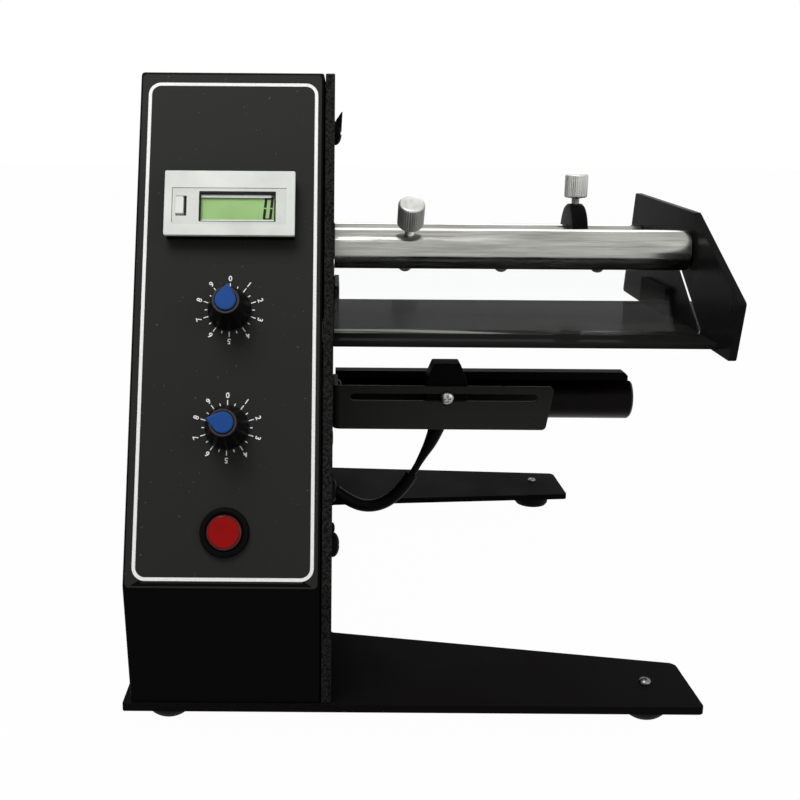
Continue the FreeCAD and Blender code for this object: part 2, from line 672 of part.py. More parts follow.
def make_counter():
    """A panel counter: bezel, case, display, window, reset button and the clip behind the panel."""
    inner_wide = "(counter_width - counter_border * 2)"
    inner_tall = "(counter_tall - counter_border * 2)"
    bezel = new_body("counter_bezel")
    face = outline(bezel, "XY_Plane", middle_points("0", "0", "counter_width", "counter_tall"))
    pad(bezel, face, "counter_rise")
    fillet(bezel, along(Z_WAY), "counter_corner")
    hollow = outline(bezel, "XY_Plane", middle_points("0", "0", inner_wide, inner_tall))
    pocket(bezel, hollow, "(counter_rise - counter_front) * 2")
    face = sketch_on(bezel, "XY_Plane", "counter_rise")
    add_outline(face, middle_points("display_across", "0 - display_drop", "display_width", "display_tall"))
    reset = middle_points("0 - reset_across", "0 - reset_drop", "reset_width + slip_gap",
                          "reset_tall + slip_gap")
    add_outline(face, reset)
    pocket(bezel, face, "counter_front * 2.5")
    on_panel(keep(bezel), PANEL_MIDDLE, "counter_up", "overlay_gauge")

    case = new_body("counter_case")
    block = middle_points("0", "0", f"{inner_wide} - display_gap * 2", f"{inner_tall} - display_gap * 2")
    case_front = "(counter_rise - counter_front - display_recess)"
    pad(case, outline(case, "XY_Plane", block, f"0 - counter_depth"), f"counter_depth + {case_front}")
    on_panel(keep(case), PANEL_MIDDLE, "counter_up", "overlay_gauge")

    for label, lift, gauge in (
            ("counter_display", case_front, "display_gauge"),
            ("counter_window", f"({case_front} + display_gauge)", "window_gauge")):
        plate = new_body(label)
        pane = middle_points("display_across", "0 - display_drop",
                             "display_width - display_gap", "display_tall - display_gap")
        pad(plate, outline(plate, "XY_Plane", pane, lift), gauge)
        on_panel(keep(plate), PANEL_MIDDLE, "counter_up", "overlay_gauge")

    button = new_body("counter_reset_button")
    start = f"({case_front} + reset_travel + slip_gap)"
    cap = middle_points("0 - reset_across", "0 - reset_drop", "reset_width", "reset_tall")
    pad(button, outline(button, "XY_Plane", cap, start), f"counter_rise + reset_proud - {start}")
    on_panel(keep(button), PANEL_MIDDLE, "counter_up", "overlay_gauge")

    clip = new_body("counter_clip")
    outer = middle_points("0", "0", f"{inner_wide} + clip_wall * 2", f"{inner_tall} + clip_wall * 2")
    rear = "(0 - overlay_gauge - shell_wall - clip_length)"
    pad(clip, outline(clip, "XY_Plane", outer, rear), "clip_length")
    pocket(clip, outline(clip, "XY_Plane", middle_points("0", "0", inner_wide, inner_tall), rear),
           "clip_length * 3")
    on_panel(keep(clip), PANEL_MIDDLE, "counter_up", "overlay_gauge")


def spun(points, degrees):
    """Turn points clockwise round the origin of a sketch."""
    result = []
    for u, v in points:
        turned_u = f"(({u}) * cos({degrees}) + ({v}) * sin({degrees}))"
        turned_v = f"(({v}) * cos({degrees}) - ({u}) * sin({degrees}))"
        result.append((turned_u, turned_v))
    return result


def make_dial(name, up, pointer):
    """A dial: potentiometer with a threaded bushing, its shaft, a tapered knob and a pointer cap."""
    rear = "(0 - overlay_gauge - shell_wall)"
    floor = f"({rear} - pot_depth)"
    pot = new_body(f"{name}_potentiometer")
    pad(pot, outline(pot, "XY_Plane", middle_points("0", "0", "pot_width", "pot_width"), floor), "pot_depth")
    pad(pot, circles(pot, "XY_Plane", [("0", "0", "bushing_width")], rear), f"bushing_rise - {rear}")
    bore = circles(pot, "XY_Plane", [("0", "0", "pot_shaft + run_gap * 2")], "bushing_rise")
    pocket(pot, bore, f"bushing_rise - {floor} - pot_floor", "One side")
    on_panel(keep(pot), DIAL_MIDDLE, up, "overlay_gauge")

    shaft_low = f"({floor} + pot_floor + slip_gap)"
    ceiling = "(bushing_rise + knob_gap)"
    shaft = turned(f"{name}_shaft", [
        ("0", shaft_low), ("pot_shaft / 2", shaft_low), ("pot_shaft / 2", ceiling), ("0", ceiling)])
    on_panel(keep(shaft), DIAL_MIDDLE, up, "overlay_gauge")

    knob = turned(f"{name}_knob", [
        ("knob_hollow / 2", "knob_gap"), ("knob_width / 2", "knob_gap"), ("knob_top / 2", "knob_height"),
        ("0", "knob_height"), ("0", ceiling), ("knob_hollow / 2", ceiling)])
    on_panel(keep(knob), DIAL_MIDDLE, up, "overlay_gauge")

    cap = new_body(f"{name}_knob_cap")
    pad(cap, circles(cap, "XY_Plane", [("0", "0", "cap_width")], "knob_height"), "cap_gauge")
    touch_v = "(pow(cap_width / 2; 2) / cap_tip)"
    touch_u = "(cap_width / 2 * sqrt(1 - pow(cap_width / 2 / cap_tip; 2)))"
    beak = spun([("0", "0"), (touch_u, touch_v), ("0", "cap_tip"), (f"0 - {touch_u}", touch_v)], pointer)
    pad(cap, outline(cap, "XY_Plane", beak, "knob_height"), "cap_gauge")
    on_panel(keep(cap), DIAL_MIDDLE, up, "overlay_gauge")


def make_power_switch():
    """An illuminated push button: its case with a ring in front, and the sprung red button."""
    bore = "(lens_width / 2 + run_gap)"
    socket = "(0 - lens_hold - lens_travel - slip_gap)"
    case = turned("power_switch_case", [
        (bore, "ring_height"), ("ring_width / 2", "ring_height"), ("ring_width / 2", "0"),
        ("switch_width / 2", "0"), ("switch_width / 2", "0 - switch_depth"), ("0", "0 - switch_depth"),
        ("0", socket), (bore, socket)])
    on_panel(keep(case), DIAL_MIDDLE, "button_up", "overlay_gauge")
    lens = turned("power_button", [
        ("0", "0 - lens_hold"), ("lens_width / 2", "0 - lens_hold"),
        ("lens_width / 2", "lens_rise"), ("0", "lens_rise")])
    on_panel(keep(lens), DIAL_MIDDLE, "button_up", "overlay_gauge")


def make_rods():
    """The two fixed rods between side plate and end plate, and the screw heads at their outer ends."""
    head = turned("rod_head_master", [
        ("0", "0"), ("rod_head / 2", "0"), ("rod_head / 2", "rod_screw_rise"), ("0", "rod_screw_rise")])
    copies("rod_heads", at(head, [
        (END_FACE, "press_y", "press_z", "right"), (END_FACE, "rear_y", "rear_z", "right")]))
    for label, y, z in (("press_rod", "press_y", "press_z"), ("rear_rod", "rear_y", "rear_z")):
        rod = turned(label, [
            ("0", "0"), ("rod_width / 2", "0"), ("rod_width / 2", "rod_reach"), ("0", "rod_reach")])
        locate(keep(rod), "0", y, z, "right")


def make_press_flap():
    """The press tube turns on its rod and carries the clear flap, which rests on the table."""
    length = "(rod_reach - end_gap * 2)"
    tube = new_body("press_tube")
    rings = [("0", "0", "tube_width"), ("0", "0", "rod_width + run_gap * 2")]
    pad(tube, circles(tube, "YZ_Plane", rings, "end_gap"), length)
    hole = circles(tube, "XY_Plane", [("press_thumb_x", "0", "thumb_thread + run_gap * 2")])
    pocket(tube, hole, "tube_width", "One side", reverse=True)
    on_flap(keep(tube), "0")

    top = "(tube_width / 2 + flap_seat)"
    reach = (f"((press_z - table_top - flap_gap - ({top} + flap_gauge) * cos(flap_tilt)) / sin(flap_tilt))")
    flap = new_body("press_flap")
    side = "(end_gap + flap_inset)"
    sheet = box_points(side, f"0 - {reach}", f"rod_reach - {side}", "flap_tail")
    pad(flap, outline(flap, "XY_Plane", sheet, f"0 - {top} - flap_gauge"), "flap_gauge")
    fillet(flap, along(Z_WAY), "flap_corner")
    on_flap(keep(flap), "0")

    thumb = thumb_screw("press_thumbscrew", "((tube_width - rod_width) / 2 + press_thumb_rise - tip_gap)")
    on_flap(keep(thumb), "press_thumb_x", "(rod_width / 2 + tip_gap)")


def thumb_screw(label, stem):
    """A hand screw: its stem starts at z = 0 and its head sits on top."""
    thread = "thumb_thread / 2"
    top = f"({stem} + thumb_height)"
    return turned(label, [
        ("0", "0"), (thread, "0"), (thread, stem), ("thumb_head / 2", stem), ("thumb_head / 2", top),
        ("0", top)])


def make_edge_collar():
    """The disc that guides the edge of the label web, clamped on the rear rod."""
    collar = turned("edge_collar", [
        ("rod_width / 2 + run_gap", "0"), ("collar_width / 2", "0"),
        ("collar_width / 2", "collar_gauge"), ("rod_width / 2 + run_gap", "collar_gauge")])
    hole = circles(collar, "YZ_Plane", [("0", "collar_gauge / 2", "thumb_thread + run_gap * 2")])
    pocket(collar, hole, "collar_width", "One side", reverse=False)
    locate(keep(collar), "collar_x", "rear_y", "rear_z", "right")
    stem = "((collar_width - rod_width) / 2 + collar_thumb_rise - tip_gap)"
    thumb = thumb_screw("collar_thumbscrew", stem)
    locate(keep(thumb), "(collar_x + collar_gauge / 2)", "rear_y", "(rear_z + rod_width / 2 + tip_gap)")


def make_table():
    """The peel table, a flat sheet with an up-turned ear at each end."""
    host = new_body("peel_table")
    sheet = box_points("0", "table_front", "rod_reach", "table_back")
    pad(host, outline(host, "XY_Plane", sheet, "table_top - table_gauge"), "table_gauge")
    back = "(table_back - ear_inset)"
    ear = box_points(f"{back} - ear_length", "table_top - table_gauge / 2", back, "table_top + ear_height")
    for lift in ("0", "rod_reach - table_gauge"):
        pad(host, outline(host, "YZ_Plane", ear, lift), "table_gauge")
    front = value("table_front")
    chamfer(host, along(X_WAY, lambda point: abs(point.y - front) < NEAR), "table_gauge * 0.2")
    locate(keep(host), "0", "0", "0")


def make_end_plate():
    host = new_body("end_plate")
    corners = [
        ("table_front - end_low_lead", "table_top - end_drop"),
        ("table_front - end_lead", "table_top + end_lead_rise"),
        ("press_y - end_top_lead", "press_z + end_top_rise"),
        ("rear_y + end_rear_margin", "rear_z + end_rear_rise"),
        ("rear_y + end_rear_foot", "table_top - end_drop + end_skew")]
    pad(host, outline(host, "YZ_Plane", corners), "end_gauge")
    fillet(host, along(X_WAY), "end_corner")
    locate(keep(host), "rod_reach", "0", "0")


def make_drive():
    """Gear motor, bush, drive shaft and the spindle that winds up the empty backing paper."""
    depth = "(side_gauge + gearbox_depth)"
    box = new_body("drive_gearbox")
    square = middle_points("0", "0", "gearbox_width", "gearbox_width")
    pad(box, outline(box, "XY_Plane", square, "side_gauge"), "gearbox_depth")
    bore = circles(box, "XY_Plane", [("0", "0", "shaft_width + run_gap * 2")])
    pocket(box, bore, "shaft_in + slip_gap", "One side", reverse=True)
    locate(keep(box), "0", "takeup_y", "takeup_z", "left")
    motor = new_body("drive_motor")
    square = middle_points("0", "0", "motor_width", "motor_width")
    pad(motor, outline(motor, "XY_Plane", square, depth), f"motor_end - {depth}")
    chamfer(motor, along(Z_WAY), "motor_corner")
    locate(keep(motor), "0", "takeup_y", "takeup_z", "left")
    inside = "(shaft_width / 2 + run_gap)"
    bush = turned("spindle_bush", [
        (inside, "0 - side_gauge"), ("bush_width / 2", "0 - side_gauge"), ("bush_width / 2", "bush_rise"),
        (inside, "bush_rise")])
    locate(keep(bush), "0", "takeup_y", "takeup_z", "right")
    shaft = turned("drive_shaft", [
        ("0", "0 - shaft_in"), ("shaft_width / 2", "0 - shaft_in"),
        ("shaft_width / 2", "shaft_out"), ("0", "shaft_out")])
    locate(keep(shaft), "0", "takeup_y", "takeup_z", "right")

    spindle = new_body("takeup_spindle")
    length = "(spindle_end - spindle_start)"
    pad(spindle, circles(spindle, "YZ_Plane", [("0", "0", "spindle_width")], "spindle_start"), length)
    outer = value("spindle_end")
    rim = lambda edge: isinstance(edge.Curve, Part.Circle) and abs(edge.CenterOfMass.x - outer) < NEAR
    chamfer(spindle, rim, "spindle_edge")
    bore_sketch = circles(spindle, "YZ_Plane", [("0", "0", "shaft_width")], "shaft_out")
    pocket(spindle, bore_sketch, "shaft_out", "One side")
    slot = outline(spindle, "YZ_Plane", dovetail("0"), "spindle_end")
    pocket(spindle, slot, length, "One side")
    locate(keep(spindle), "0", "takeup_y", "takeup_z")

    clip = new_body("paper_clip")
    start = "(spindle_start + slip_gap)"
    pad(clip, outline(clip, "YZ_Plane", dovetail("slide_gap"), start), f"paper_clip_end - {start}")
    crown = "(spindle_width / 2 + paper_clip_rise)"
    head = box_points("0 - keyway_mouth / 2 + slide_gap", "spindle_width / 2 - slide_gap * 2",
                      "keyway_mouth / 2 - slide_gap", crown)
    pad(clip, outline(clip, "YZ_Plane", head, start), f"paper_clip_end - {start}")
    end = value("paper_clip_end")
    high = value(crown)
    nose = along(Y_WAY, lambda point: abs(point.x - end) < NEAR and abs(point.z - high) < NEAR)
    chamfer(clip, nose, "paper_clip_rise * 0.6")
    locate(keep(clip), "0", "takeup_y", "takeup_z")


def dovetail(gap):
    """Section of the paper clip's groove, or of the clip itself with a gap all round."""
    top = "(spindle_width / 2)"
    floor = f"({top} - keyway_depth + {gap})"
    high = f"({top} + slide_gap)" if gap == "0" else f"({top} - slide_gap)"
    return [
        (f"0 - keyway_floor / 2 + {gap}", floor), (f"keyway_floor / 2 - {gap}", floor),
        (f"keyway_mouth / 2 - {gap}", high), (f"0 - keyway_mouth / 2 + {gap}", high)]


def make_sensor():
    """Slotted bracket, sliding sensor head with its lock screw, leads and the grommet in the side plate."""
    host = new_body("sensor_bracket")
    back = "(bracket_y + bracket_gauge)"
    face = [
        ("0", "bracket_low"), ("bracket_reach - bracket_skew", "bracket_low"),
        ("bracket_reach", "bracket_high"), ("0", "bracket_high")]
    pad(host, outline(host, "XZ_Plane", face, f"0 - {back}"), "bracket_gauge")
    foot = box_points("bracket_y", "bracket_low", "bracket_y + bracket_foot", "bracket_high")
    pad(host, outline(host, "YZ_Plane", foot), "bracket_gauge")
    bend = along(Z_WAY, lambda point: abs(point.x) < NEAR and abs(point.y - value("bracket_y")) < NEAR)
    fillet(host, bend, "bracket_bend")
    far = along(Y_WAY, lambda point: point.x > value("bracket_reach - bracket_skew") - 0.1)
    fillet(host, far, "bracket_corner")
    slot = sketch_on(host, "XZ_Plane", f"0 - {back}")
    add_outline(slot, box_points("slot_start + slot_width / 2", "slot_height - slot_width / 2",
                                 "slot_end - slot_width / 2", "slot_height + slot_width / 2"))
    pocket(host, slot, "bracket_gauge * 3")
    for x in ("slot_start + slot_width / 2", "slot_end - slot_width / 2"):
        pocket(host, circles(host, "XZ_Plane", [(x, "slot_height", "slot_width")], f"0 - {back}"),
               "bracket_gauge * 3")
    locate(keep(host), "0", "0", "0")

    head = new_body("sensor_head")
    top = "sensor_top_width / 2"
    base = "sensor_base_width / 2"
    shape = [
        (f"0 - {base}", "sensor_low"), (base, "sensor_low"), (base, "sensor_waist"),
        (top, "sensor_high"), (f"0 - {top}", "sensor_high"), (f"0 - {base}", "sensor_waist")]
    pad(head, outline(head, "XZ_Plane", shape), "sensor_depth", reverse=True)
    tap = circles(head, "XZ_Plane", [("0", "slot_height", "lock_thread + run_gap * 2")])
    pocket(head, tap, "lock_bore", "One side")
    locate(keep(head), "sensor_x", f"({back} + sensor_gap)", "0")

    tip = "(0 - bracket_gauge - lock_reach)"
    lock = turned("sensor_lock_screw", [
        ("0", tip), ("lock_thread / 2", tip), ("lock_thread / 2", "0"),
        ("lock_head / 2", "0"), ("lock_head / 2", "lock_head_rise"), ("0", "lock_head_rise")])
    locate(keep(lock), "sensor_x", "bracket_y - run_gap", "slot_height", "front")

    grommet = turned("cable_grommet", [
        ("0", "0 - side_gauge"), ("grommet_neck / 2", "0 - side_gauge"), ("grommet_neck / 2", "0"),
        ("grommet_width / 2", "0"), ("grommet_width / 2", "grommet_rim"), ("0", "grommet_rim")])
    locate(keep(grommet), "0", "grommet_y", "grommet_z", "right")


# Route of the sensor's leads, from the head down and across to the grommet, chosen by hand.
LEAD_ROUTE = [V(43.6, 92, 92.9), V(43.6, 92, 86.5), V(39.6, 93.6, 78.4), V(34.8, 95, 69.6)]
CABLE_ROUTE = [
    V(34.8, 95, 69.6), V(30.3, 95.9, 62.1), V(23.6, 96.5, 55.6), V(15.6, 97, 53.4),
    V(8.0, 97.8, 55.4), V(1.4, 98, 60.2)]


LEAD_SIDES = 12


def rounded_wire(points, radii):
    """Straight runs joined by arcs as large as the runs beside them allow."""
    edges = []
    start = points[0]
    for before, corner, after in zip(points, points[1:], points[2:]):
        way_in = (corner - before).normalize()
        way_out = (after - corner).normalize()
        half_turn = way_in.getAngle(way_out) / 2
        reach = 0.45 * min((corner - before).Length, (after - corner).Length)
        radius = reach / math.tan(half_turn)
        entry = corner - way_in * reach
        leave = corner + way_out * reach
        inward = (way_out - way_in).normalize()
        middle = corner + inward * (radius / math.cos(half_turn) - radius)
        edges.append(Part.LineSegment(start, entry).toShape())
        edges.append(Part.Arc(entry, middle, leave).toShape())
        radii.append(round(radius, 1))
        start = leave
    edges.append(Part.LineSegment(start, points[-1]).toShape())
    return Part.Wire(edges)


def make_lead(label, points, width):
    """A lead along its route, with a many-sided section as wide as the lead is thick."""
    radii = []
    path = rounded_wire(points, radii)
    start = (points[1] - points[0]).normalize()
    across = start.cross(Y_WAY).normalize()
    upward = start.cross(across)
    ring = []
    for side in range(LEAD_SIDES + 1):
        turn = 2 * math.pi * side / LEAD_SIDES
        ring.append(points[0] + (across * math.cos(turn) + upward * math.sin(turn)) * (value(width) / 2))
    section = Part.makePolygon(ring)
    item = DOC.addObject("Part::Feature", label)
    item.Shape = path.makePipeShell([section], True, False)
    locate(keep(item), "0", "0", "0")
    print(label, "length", round(path.Length, 1), "bend radii", radii)


def make_board():
    """The control board stands on two rails inside the side plate."""
    face = "(0 - side_gauge - rail_depth)"
    rails = new_body("board_rails")
    rails.AllowCompound = True
    sketch = sketch_on(rails, "YZ_Plane", face)
    for low in ("board_z", "board_z + board_tall - rail_width"):
        add_outline(sketch, box_points("board_y", low, "board_y + board_width", f"{low} + rail_width"))
    pad(rails, sketch, "rail_depth")
    locate(keep(rails), "0", "0", "0")
    board = new_body("control_board")
    back = f"({face} - board_gauge)"
    sheet = box_points("board_y", "board_z", "board_y + board_width", "board_z + board_tall")
    pad(board, outline(board, "YZ_Plane", sheet, back), "board_gauge")
    chips = sketch_on(board, "YZ_Plane", back)
    for along_share, up_share, wide_share, tall_share in (
            (0.2, 0.3, 0.24, 0.24), (0.6, 0.3, 0.3, 0.3), (0.5, 0.8, 0.45, 0.17)):
        add_outline(chips, middle_points(
            f"board_y + board_width * {along_share}", f"board_z + board_tall * {up_share}",
            f"board_width * {wide_share}", f"board_tall * {tall_share}"))
    pad(board, chips, "chip_rise", reverse=True)
    locate(keep(board), "0", "0", "0")


def make_power():
    """Transformer on the base plate and the power inlet in the back wall."""
    left = "(0 - core_width / 2)"
    transformer = new_body("transformer")
    core = box_points(left, "0", "core_width / 2", "core_depth")
    pad(transformer, outline(transformer, "XY_Plane", core), "core_tall")
    coil = middle_points("0", "core_tall / 2", "core_width * 0.62", "core_tall * 0.6")
    pad(transformer, outline(transformer, "XZ_Plane", coil), "coil_bulge")
    pad(transformer, outline(transformer, "XZ_Plane", coil, "0 - core_depth"), "coil_bulge", reverse=True)
    middle = "(0 - side_gauge - flange_width - core_side - core_width / 2)"
    locate(keep(transformer), middle, "core_front", DECK)

    inlet = new_body("power_inlet")
    body = middle_points("0", "0", "inlet_width - slip_gap * 2", "inlet_tall - slip_gap * 2")
    pad(inlet, outline(inlet, "XY_Plane", body, "0 - inlet_depth"), "inlet_depth")
    rim = middle_points("0", "0", "inlet_flange", "inlet_tall + inlet_wall * 2")
    pad(inlet, outline(inlet, "XY_Plane", rim), "inlet_rim")
    socket = middle_points("0", "0", "inlet_width - inlet_wall * 2", "inlet_tall - inlet_wall * 2")
    pocket(inlet, outline(inlet, "XY_Plane", socket, "inlet_rim"), "inlet_cavity", "One side")
    blades = sketch_on(inlet, "XY_Plane", "inlet_rim - inlet_cavity - blade_width / 4")
    low = "(0 - blade_drop)"
    for x, y in (("0 - blade_pitch", low), ("0", "blade_drop"), ("blade_pitch", low)):
        add_outline(blades, middle_points(x, y, "blade_width", "blade_width * 2"))
    pad(inlet, blades, "inlet_cavity * 0.75")
    locate(keep(inlet), PANEL_MIDDLE, BACK, "inlet_height", "back")


def make_supply():
    """The spindle that holds the label roll, turning on a fixed axle with a head."""
    tip = "(supply_reach + supply_stop_gauge)"
    axle = turned("supply_axle", [
        ("0", "0"), ("rod_width / 2", "0"), ("rod_width / 2", "supply_reach"),
        ("supply_stop / 2", "supply_reach"), ("supply_stop / 2", tip), ("0", tip)])
    locate(keep(axle), "0", "supply_y", "supply_z", "right")
    start = "end_gap"
    end = "(supply_reach - supply_play)"
    rim = f"({start} + supply_rim)"
    bore = "(rod_width / 2 + run_gap)"
    spindle = turned("supply_spindle", [
        (bore, start), ("supply_shoulder / 2", start), ("supply_shoulder / 2", rim),
        ("supply_width / 2", rim), ("supply_width / 2", end), (bore, end)])
    locate(keep(spindle), "0", "supply_y", "supply_z", "right")


def check(items):
    """Stop if any object failed or any sub-part is empty or not sound."""
    for item in DOC.Objects:
        failed = {"Invalid", "Error"} & set(item.State)
        if failed:
            raise RuntimeError(f"{item.Label}: {failed}")
    for item in items:
        if item.Shape.isNull() or not item.Shape.isValid() or not item.Shape.Solids:
            raise RuntimeError(f"{item.Label}: shape is empty or not valid")


make_base_plate()
make_feet()
make_side_plate()
make_shell()
make_overlay()
make_counter()
make_dial("length", "length_up", "length_pointer")
make_dial("speed", "speed_up", "speed_pointer")
make_power_switch()
make_rods()
make_press_flap()
make_edge_collar()
make_table()
make_end_plate()
make_drive()
make_sensor()
make_lead("sensor_lead", LEAD_ROUTE, "lead_width")
make_lead("sensor_cable", CABLE_ROUTE, "cable_width")
make_board()
make_power()
make_supply()
DOC.recompute()
check(SUB_PARTS)

os.makedirs("parts", exist_ok=True)
for item in SUB_PARTS:
    item.Shape.exportStep(f"parts/{item.Label}.step")
print(len(SUB_PARTS), "sub-parts,", sum(len(item.Shape.Solids) for item in SUB_PARTS), "solids")
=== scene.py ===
import json
from math import atan2, cos, pi, radians, sin, tan

import bmesh
import bpy
from mathutils import Matrix, Vector


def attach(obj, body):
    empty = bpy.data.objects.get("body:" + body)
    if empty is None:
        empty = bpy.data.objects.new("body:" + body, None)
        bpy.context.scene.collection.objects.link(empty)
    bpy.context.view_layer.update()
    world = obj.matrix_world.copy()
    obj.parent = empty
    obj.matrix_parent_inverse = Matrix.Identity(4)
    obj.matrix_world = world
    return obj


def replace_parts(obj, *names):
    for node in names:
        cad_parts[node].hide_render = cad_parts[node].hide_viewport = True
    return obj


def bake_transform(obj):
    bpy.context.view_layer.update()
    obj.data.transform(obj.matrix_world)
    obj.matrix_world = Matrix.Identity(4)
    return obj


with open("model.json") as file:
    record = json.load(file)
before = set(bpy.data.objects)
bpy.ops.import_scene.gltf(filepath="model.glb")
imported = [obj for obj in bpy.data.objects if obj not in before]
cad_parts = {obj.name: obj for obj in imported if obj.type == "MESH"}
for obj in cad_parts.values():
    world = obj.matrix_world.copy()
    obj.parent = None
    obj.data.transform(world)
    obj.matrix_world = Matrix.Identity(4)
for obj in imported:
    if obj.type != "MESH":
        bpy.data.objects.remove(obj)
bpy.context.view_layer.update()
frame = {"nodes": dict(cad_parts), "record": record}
NODES = frame["nodes"]

# The machine is measured in millimetres from the side plate's outer face, the base's front edge and
# the desk. The frame's origin lies on the desk under its middle.
MIDDLE_X = 40.9
MIDDLE_Y = 133.25
MM = 0.001

PRESS_ROD = (105.7, 166)  # the front rod's axis, from the front and from the desk
REAR_ROD = (178.6, 165.4)
END_FACE = 153  # outer face of the end plate
FOOT_FRONT, FOOT_REAR = 17.6, 250
FOOT_LEFT, FOOT_RIGHT = -60.4, 117.6
BASE_LOW, BASE_HIGH = 11, 14


def at(x, y, z):
    """A point of the machine, in the frame's metres."""
    return Vector(((x - MIDDLE_X) * MM, (y - MIDDLE_Y) * MM, z * MM))


# The leaning panel: its slope, its middle, the ridge at its foot, and the thickness of its film.
LEAN = radians(22.4)
PANEL_X = -38.0
RIDGE_Y = -5.5
RIDGE_Z = 61.5
FILM = 0.4

# Heights on the panel above its ridge; the dials stand a little right of its middle.
LENGTH_DIAL_UP = 97.445
SPEED_DIAL_UP = 55.145
BUTTON_UP = 18.7
COUNTER_UP = 135.1
DIAL_SHIFT = 0.9


def panel_matrix(up, out=0.0, across=0.0):
    """Axes of the leaning panel, in millimetres: X across, Y up the slope, Z outwards."""
    y = RIDGE_Y + up * sin(LEAN) - out * cos(LEAN)
    z = RIDGE_Z + up * cos(LEAN) + out * sin(LEAN)
    turn = Matrix.Rotation(pi / 2 - LEAN, 4, "X")
    return Matrix.Translation(at(PANEL_X + across, y, z)) @ turn @ Matrix.Scale(MM, 4)


# Camera, light and background

camera_data = bpy.data.cameras.new("camera")
camera = bpy.data.objects.new("camera", camera_data)
bpy.context.scene.collection.objects.link(camera)
camera_data.lens = 47.25
camera_data.sensor_width = 36
camera_data.shift_x = 0.0836
camera_data.shift_y = -0.0275
camera_data.clip_start = 0.01
PITCH = radians(90 - 13.3)
ROLL = radians(0.4)
camera.matrix_world = (Matrix.Translation(at(0, -339.3, 214.6))
                       @ Matrix.Rotation(PITCH, 4, "X") @ Matrix.Rotation(ROLL, 4, "Z"))
bpy.context.scene.camera = camera
bpy.context.scene.view_settings.view_transform = "Standard"


def area_light(name, place, target, width, height, watts):
    """A rectangular lamp, turned to its target."""
    data = bpy.data.lights.new(name, "AREA")
    data.shape = "RECTANGLE"
    data.size = width
    data.size_y = height
    data.energy = watts
    lamp = bpy.data.objects.new(name, data)
    lamp.location = place
    lamp.rotation_euler = (Vector(target) - Vector(place)).to_track_quat("-Z", "Y").to_euler()
    bpy.context.scene.collection.objects.link(lamp)


area_light("key", (-0.22, -0.42, 0.8), (-0.04, -0.05, 0.15), 0.4, 0.4, 4.2)
area_light("fill", (0.95, -0.8, 0.6), (0.05, 0, 0.12), 0.8, 0.8, 3)
area_light("rear", (0.1, 1.1, 1.0), (0, 0, 0.1), 0.9, 0.5, 4)

world = bpy.data.worlds.new("world")
bpy.context.scene.world = world
world.use_nodes = True


def background():
    """White where it is seen directly, through glass or in a reflection, and soft grey as a light."""
    tree = world.node_tree
    tree.nodes.clear()
    out = tree.nodes.new("ShaderNodeOutputWorld")
    mix = tree.nodes.new("ShaderNodeMixShader")
    lit = tree.nodes.new("ShaderNodeBackground")
    seen = tree.nodes.new("ShaderNodeBackground")
    path = tree.nodes.new("ShaderNodeLightPath")
    lit.inputs["Color"].default_value = (1, 1, 1, 1)
    lit.inputs["Strength"].default_value = 0.35
    seen.inputs["Color"].default_value = (1, 1, 1, 1)
    seen.inputs["Strength"].default_value = 1.0
    first = tree.nodes.new("ShaderNodeMath")
    first.operation = "MAXIMUM"
    second = tree.nodes.new("ShaderNodeMath")
    second.operation = "MAXIMUM"
    tree.links.new(path.outputs["Is Camera Ray"], first.inputs[0])
    tree.links.new(path.outputs["Is Glossy Ray"], first.inputs[1])
    tree.links.new(first.outputs[0], second.inputs[0])
    tree.links.new(path.outputs["Is Transmission Ray"], second.inputs[1])
    tree.links.new(second.outputs[0], mix.inputs["Fac"])
    tree.links.new(lit.outputs[0], mix.inputs[1])
    tree.links.new(seen.outputs[0], mix.inputs[2])
    tree.links.new(mix.outputs[0], out.inputs["Surface"])


background()

# Materials


def principled(name, colour, rough, metal=0.0, **sockets):
    """A plain starting material; other sockets are named by their label."""
    item = bpy.data.materials.new(name)
    item.use_nodes = True
    shader = item.node_tree.nodes["Principled BSDF"]
    shader.inputs["Base Color"].default_value = (*colour, 1)
    shader.inputs["Roughness"].default_value = rough
    shader.inputs["Metallic"].default_value = metal
    for label, number in sockets.items():
        shader.inputs[label.replace("_", " ")].default_value = number
    return item


def node(item, kind, **inputs):
    """Add a shader node and set inputs by their names."""
    made = item.node_tree.nodes.new(kind)
    for label, number in inputs.items():
        made.inputs[label].default_value = number
    return made


def coords(item, stretch=(1, 1, 1)):
    """Object coordinates in metres, stretched for brushed or streaked looks."""
    place = node(item, "ShaderNodeTexCoord")
    mapping = node(item, "ShaderNodeMapping", Scale=stretch)
    item.node_tree.links.new(place.outputs["Object"], mapping.inputs["Vector"])
    return mapping.outputs["Vector"]


def noise(item, scale, detail=2.0, rough=0.5, stretch=(1, 1, 1)):
    """Noise over the object, as a factor."""
    made = node(item, "ShaderNodeTexNoise", Scale=scale, Detail=detail, Roughness=rough)
    item.node_tree.links.new(coords(item, stretch), made.inputs["Vector"])
    return made.outputs["Fac"]


def ramp(item, factor, stops):
    """Map a factor to colours or to levels: stops are (place, colour or level)."""
    made = node(item, "ShaderNodeValToRGB")
    line = made.color_ramp
    while len(line.elements) < len(stops):
        line.elements.new(0.5)
    for element, (place, shade) in zip(line.elements, stops):
        element.position = place
        element.color = (shade,) * 3 + (1,) if isinstance(shade, (int, float)) else (*shade, 1)
    item.node_tree.links.new(factor, made.inputs["Fac"])
    return made.outputs["Color"]


def link(item, output, socket):
    """Join an output to a socket of the main shader."""
    shader = item.node_tree.nodes["Principled BSDF"]
    item.node_tree.links.new(output, shader.inputs[socket])


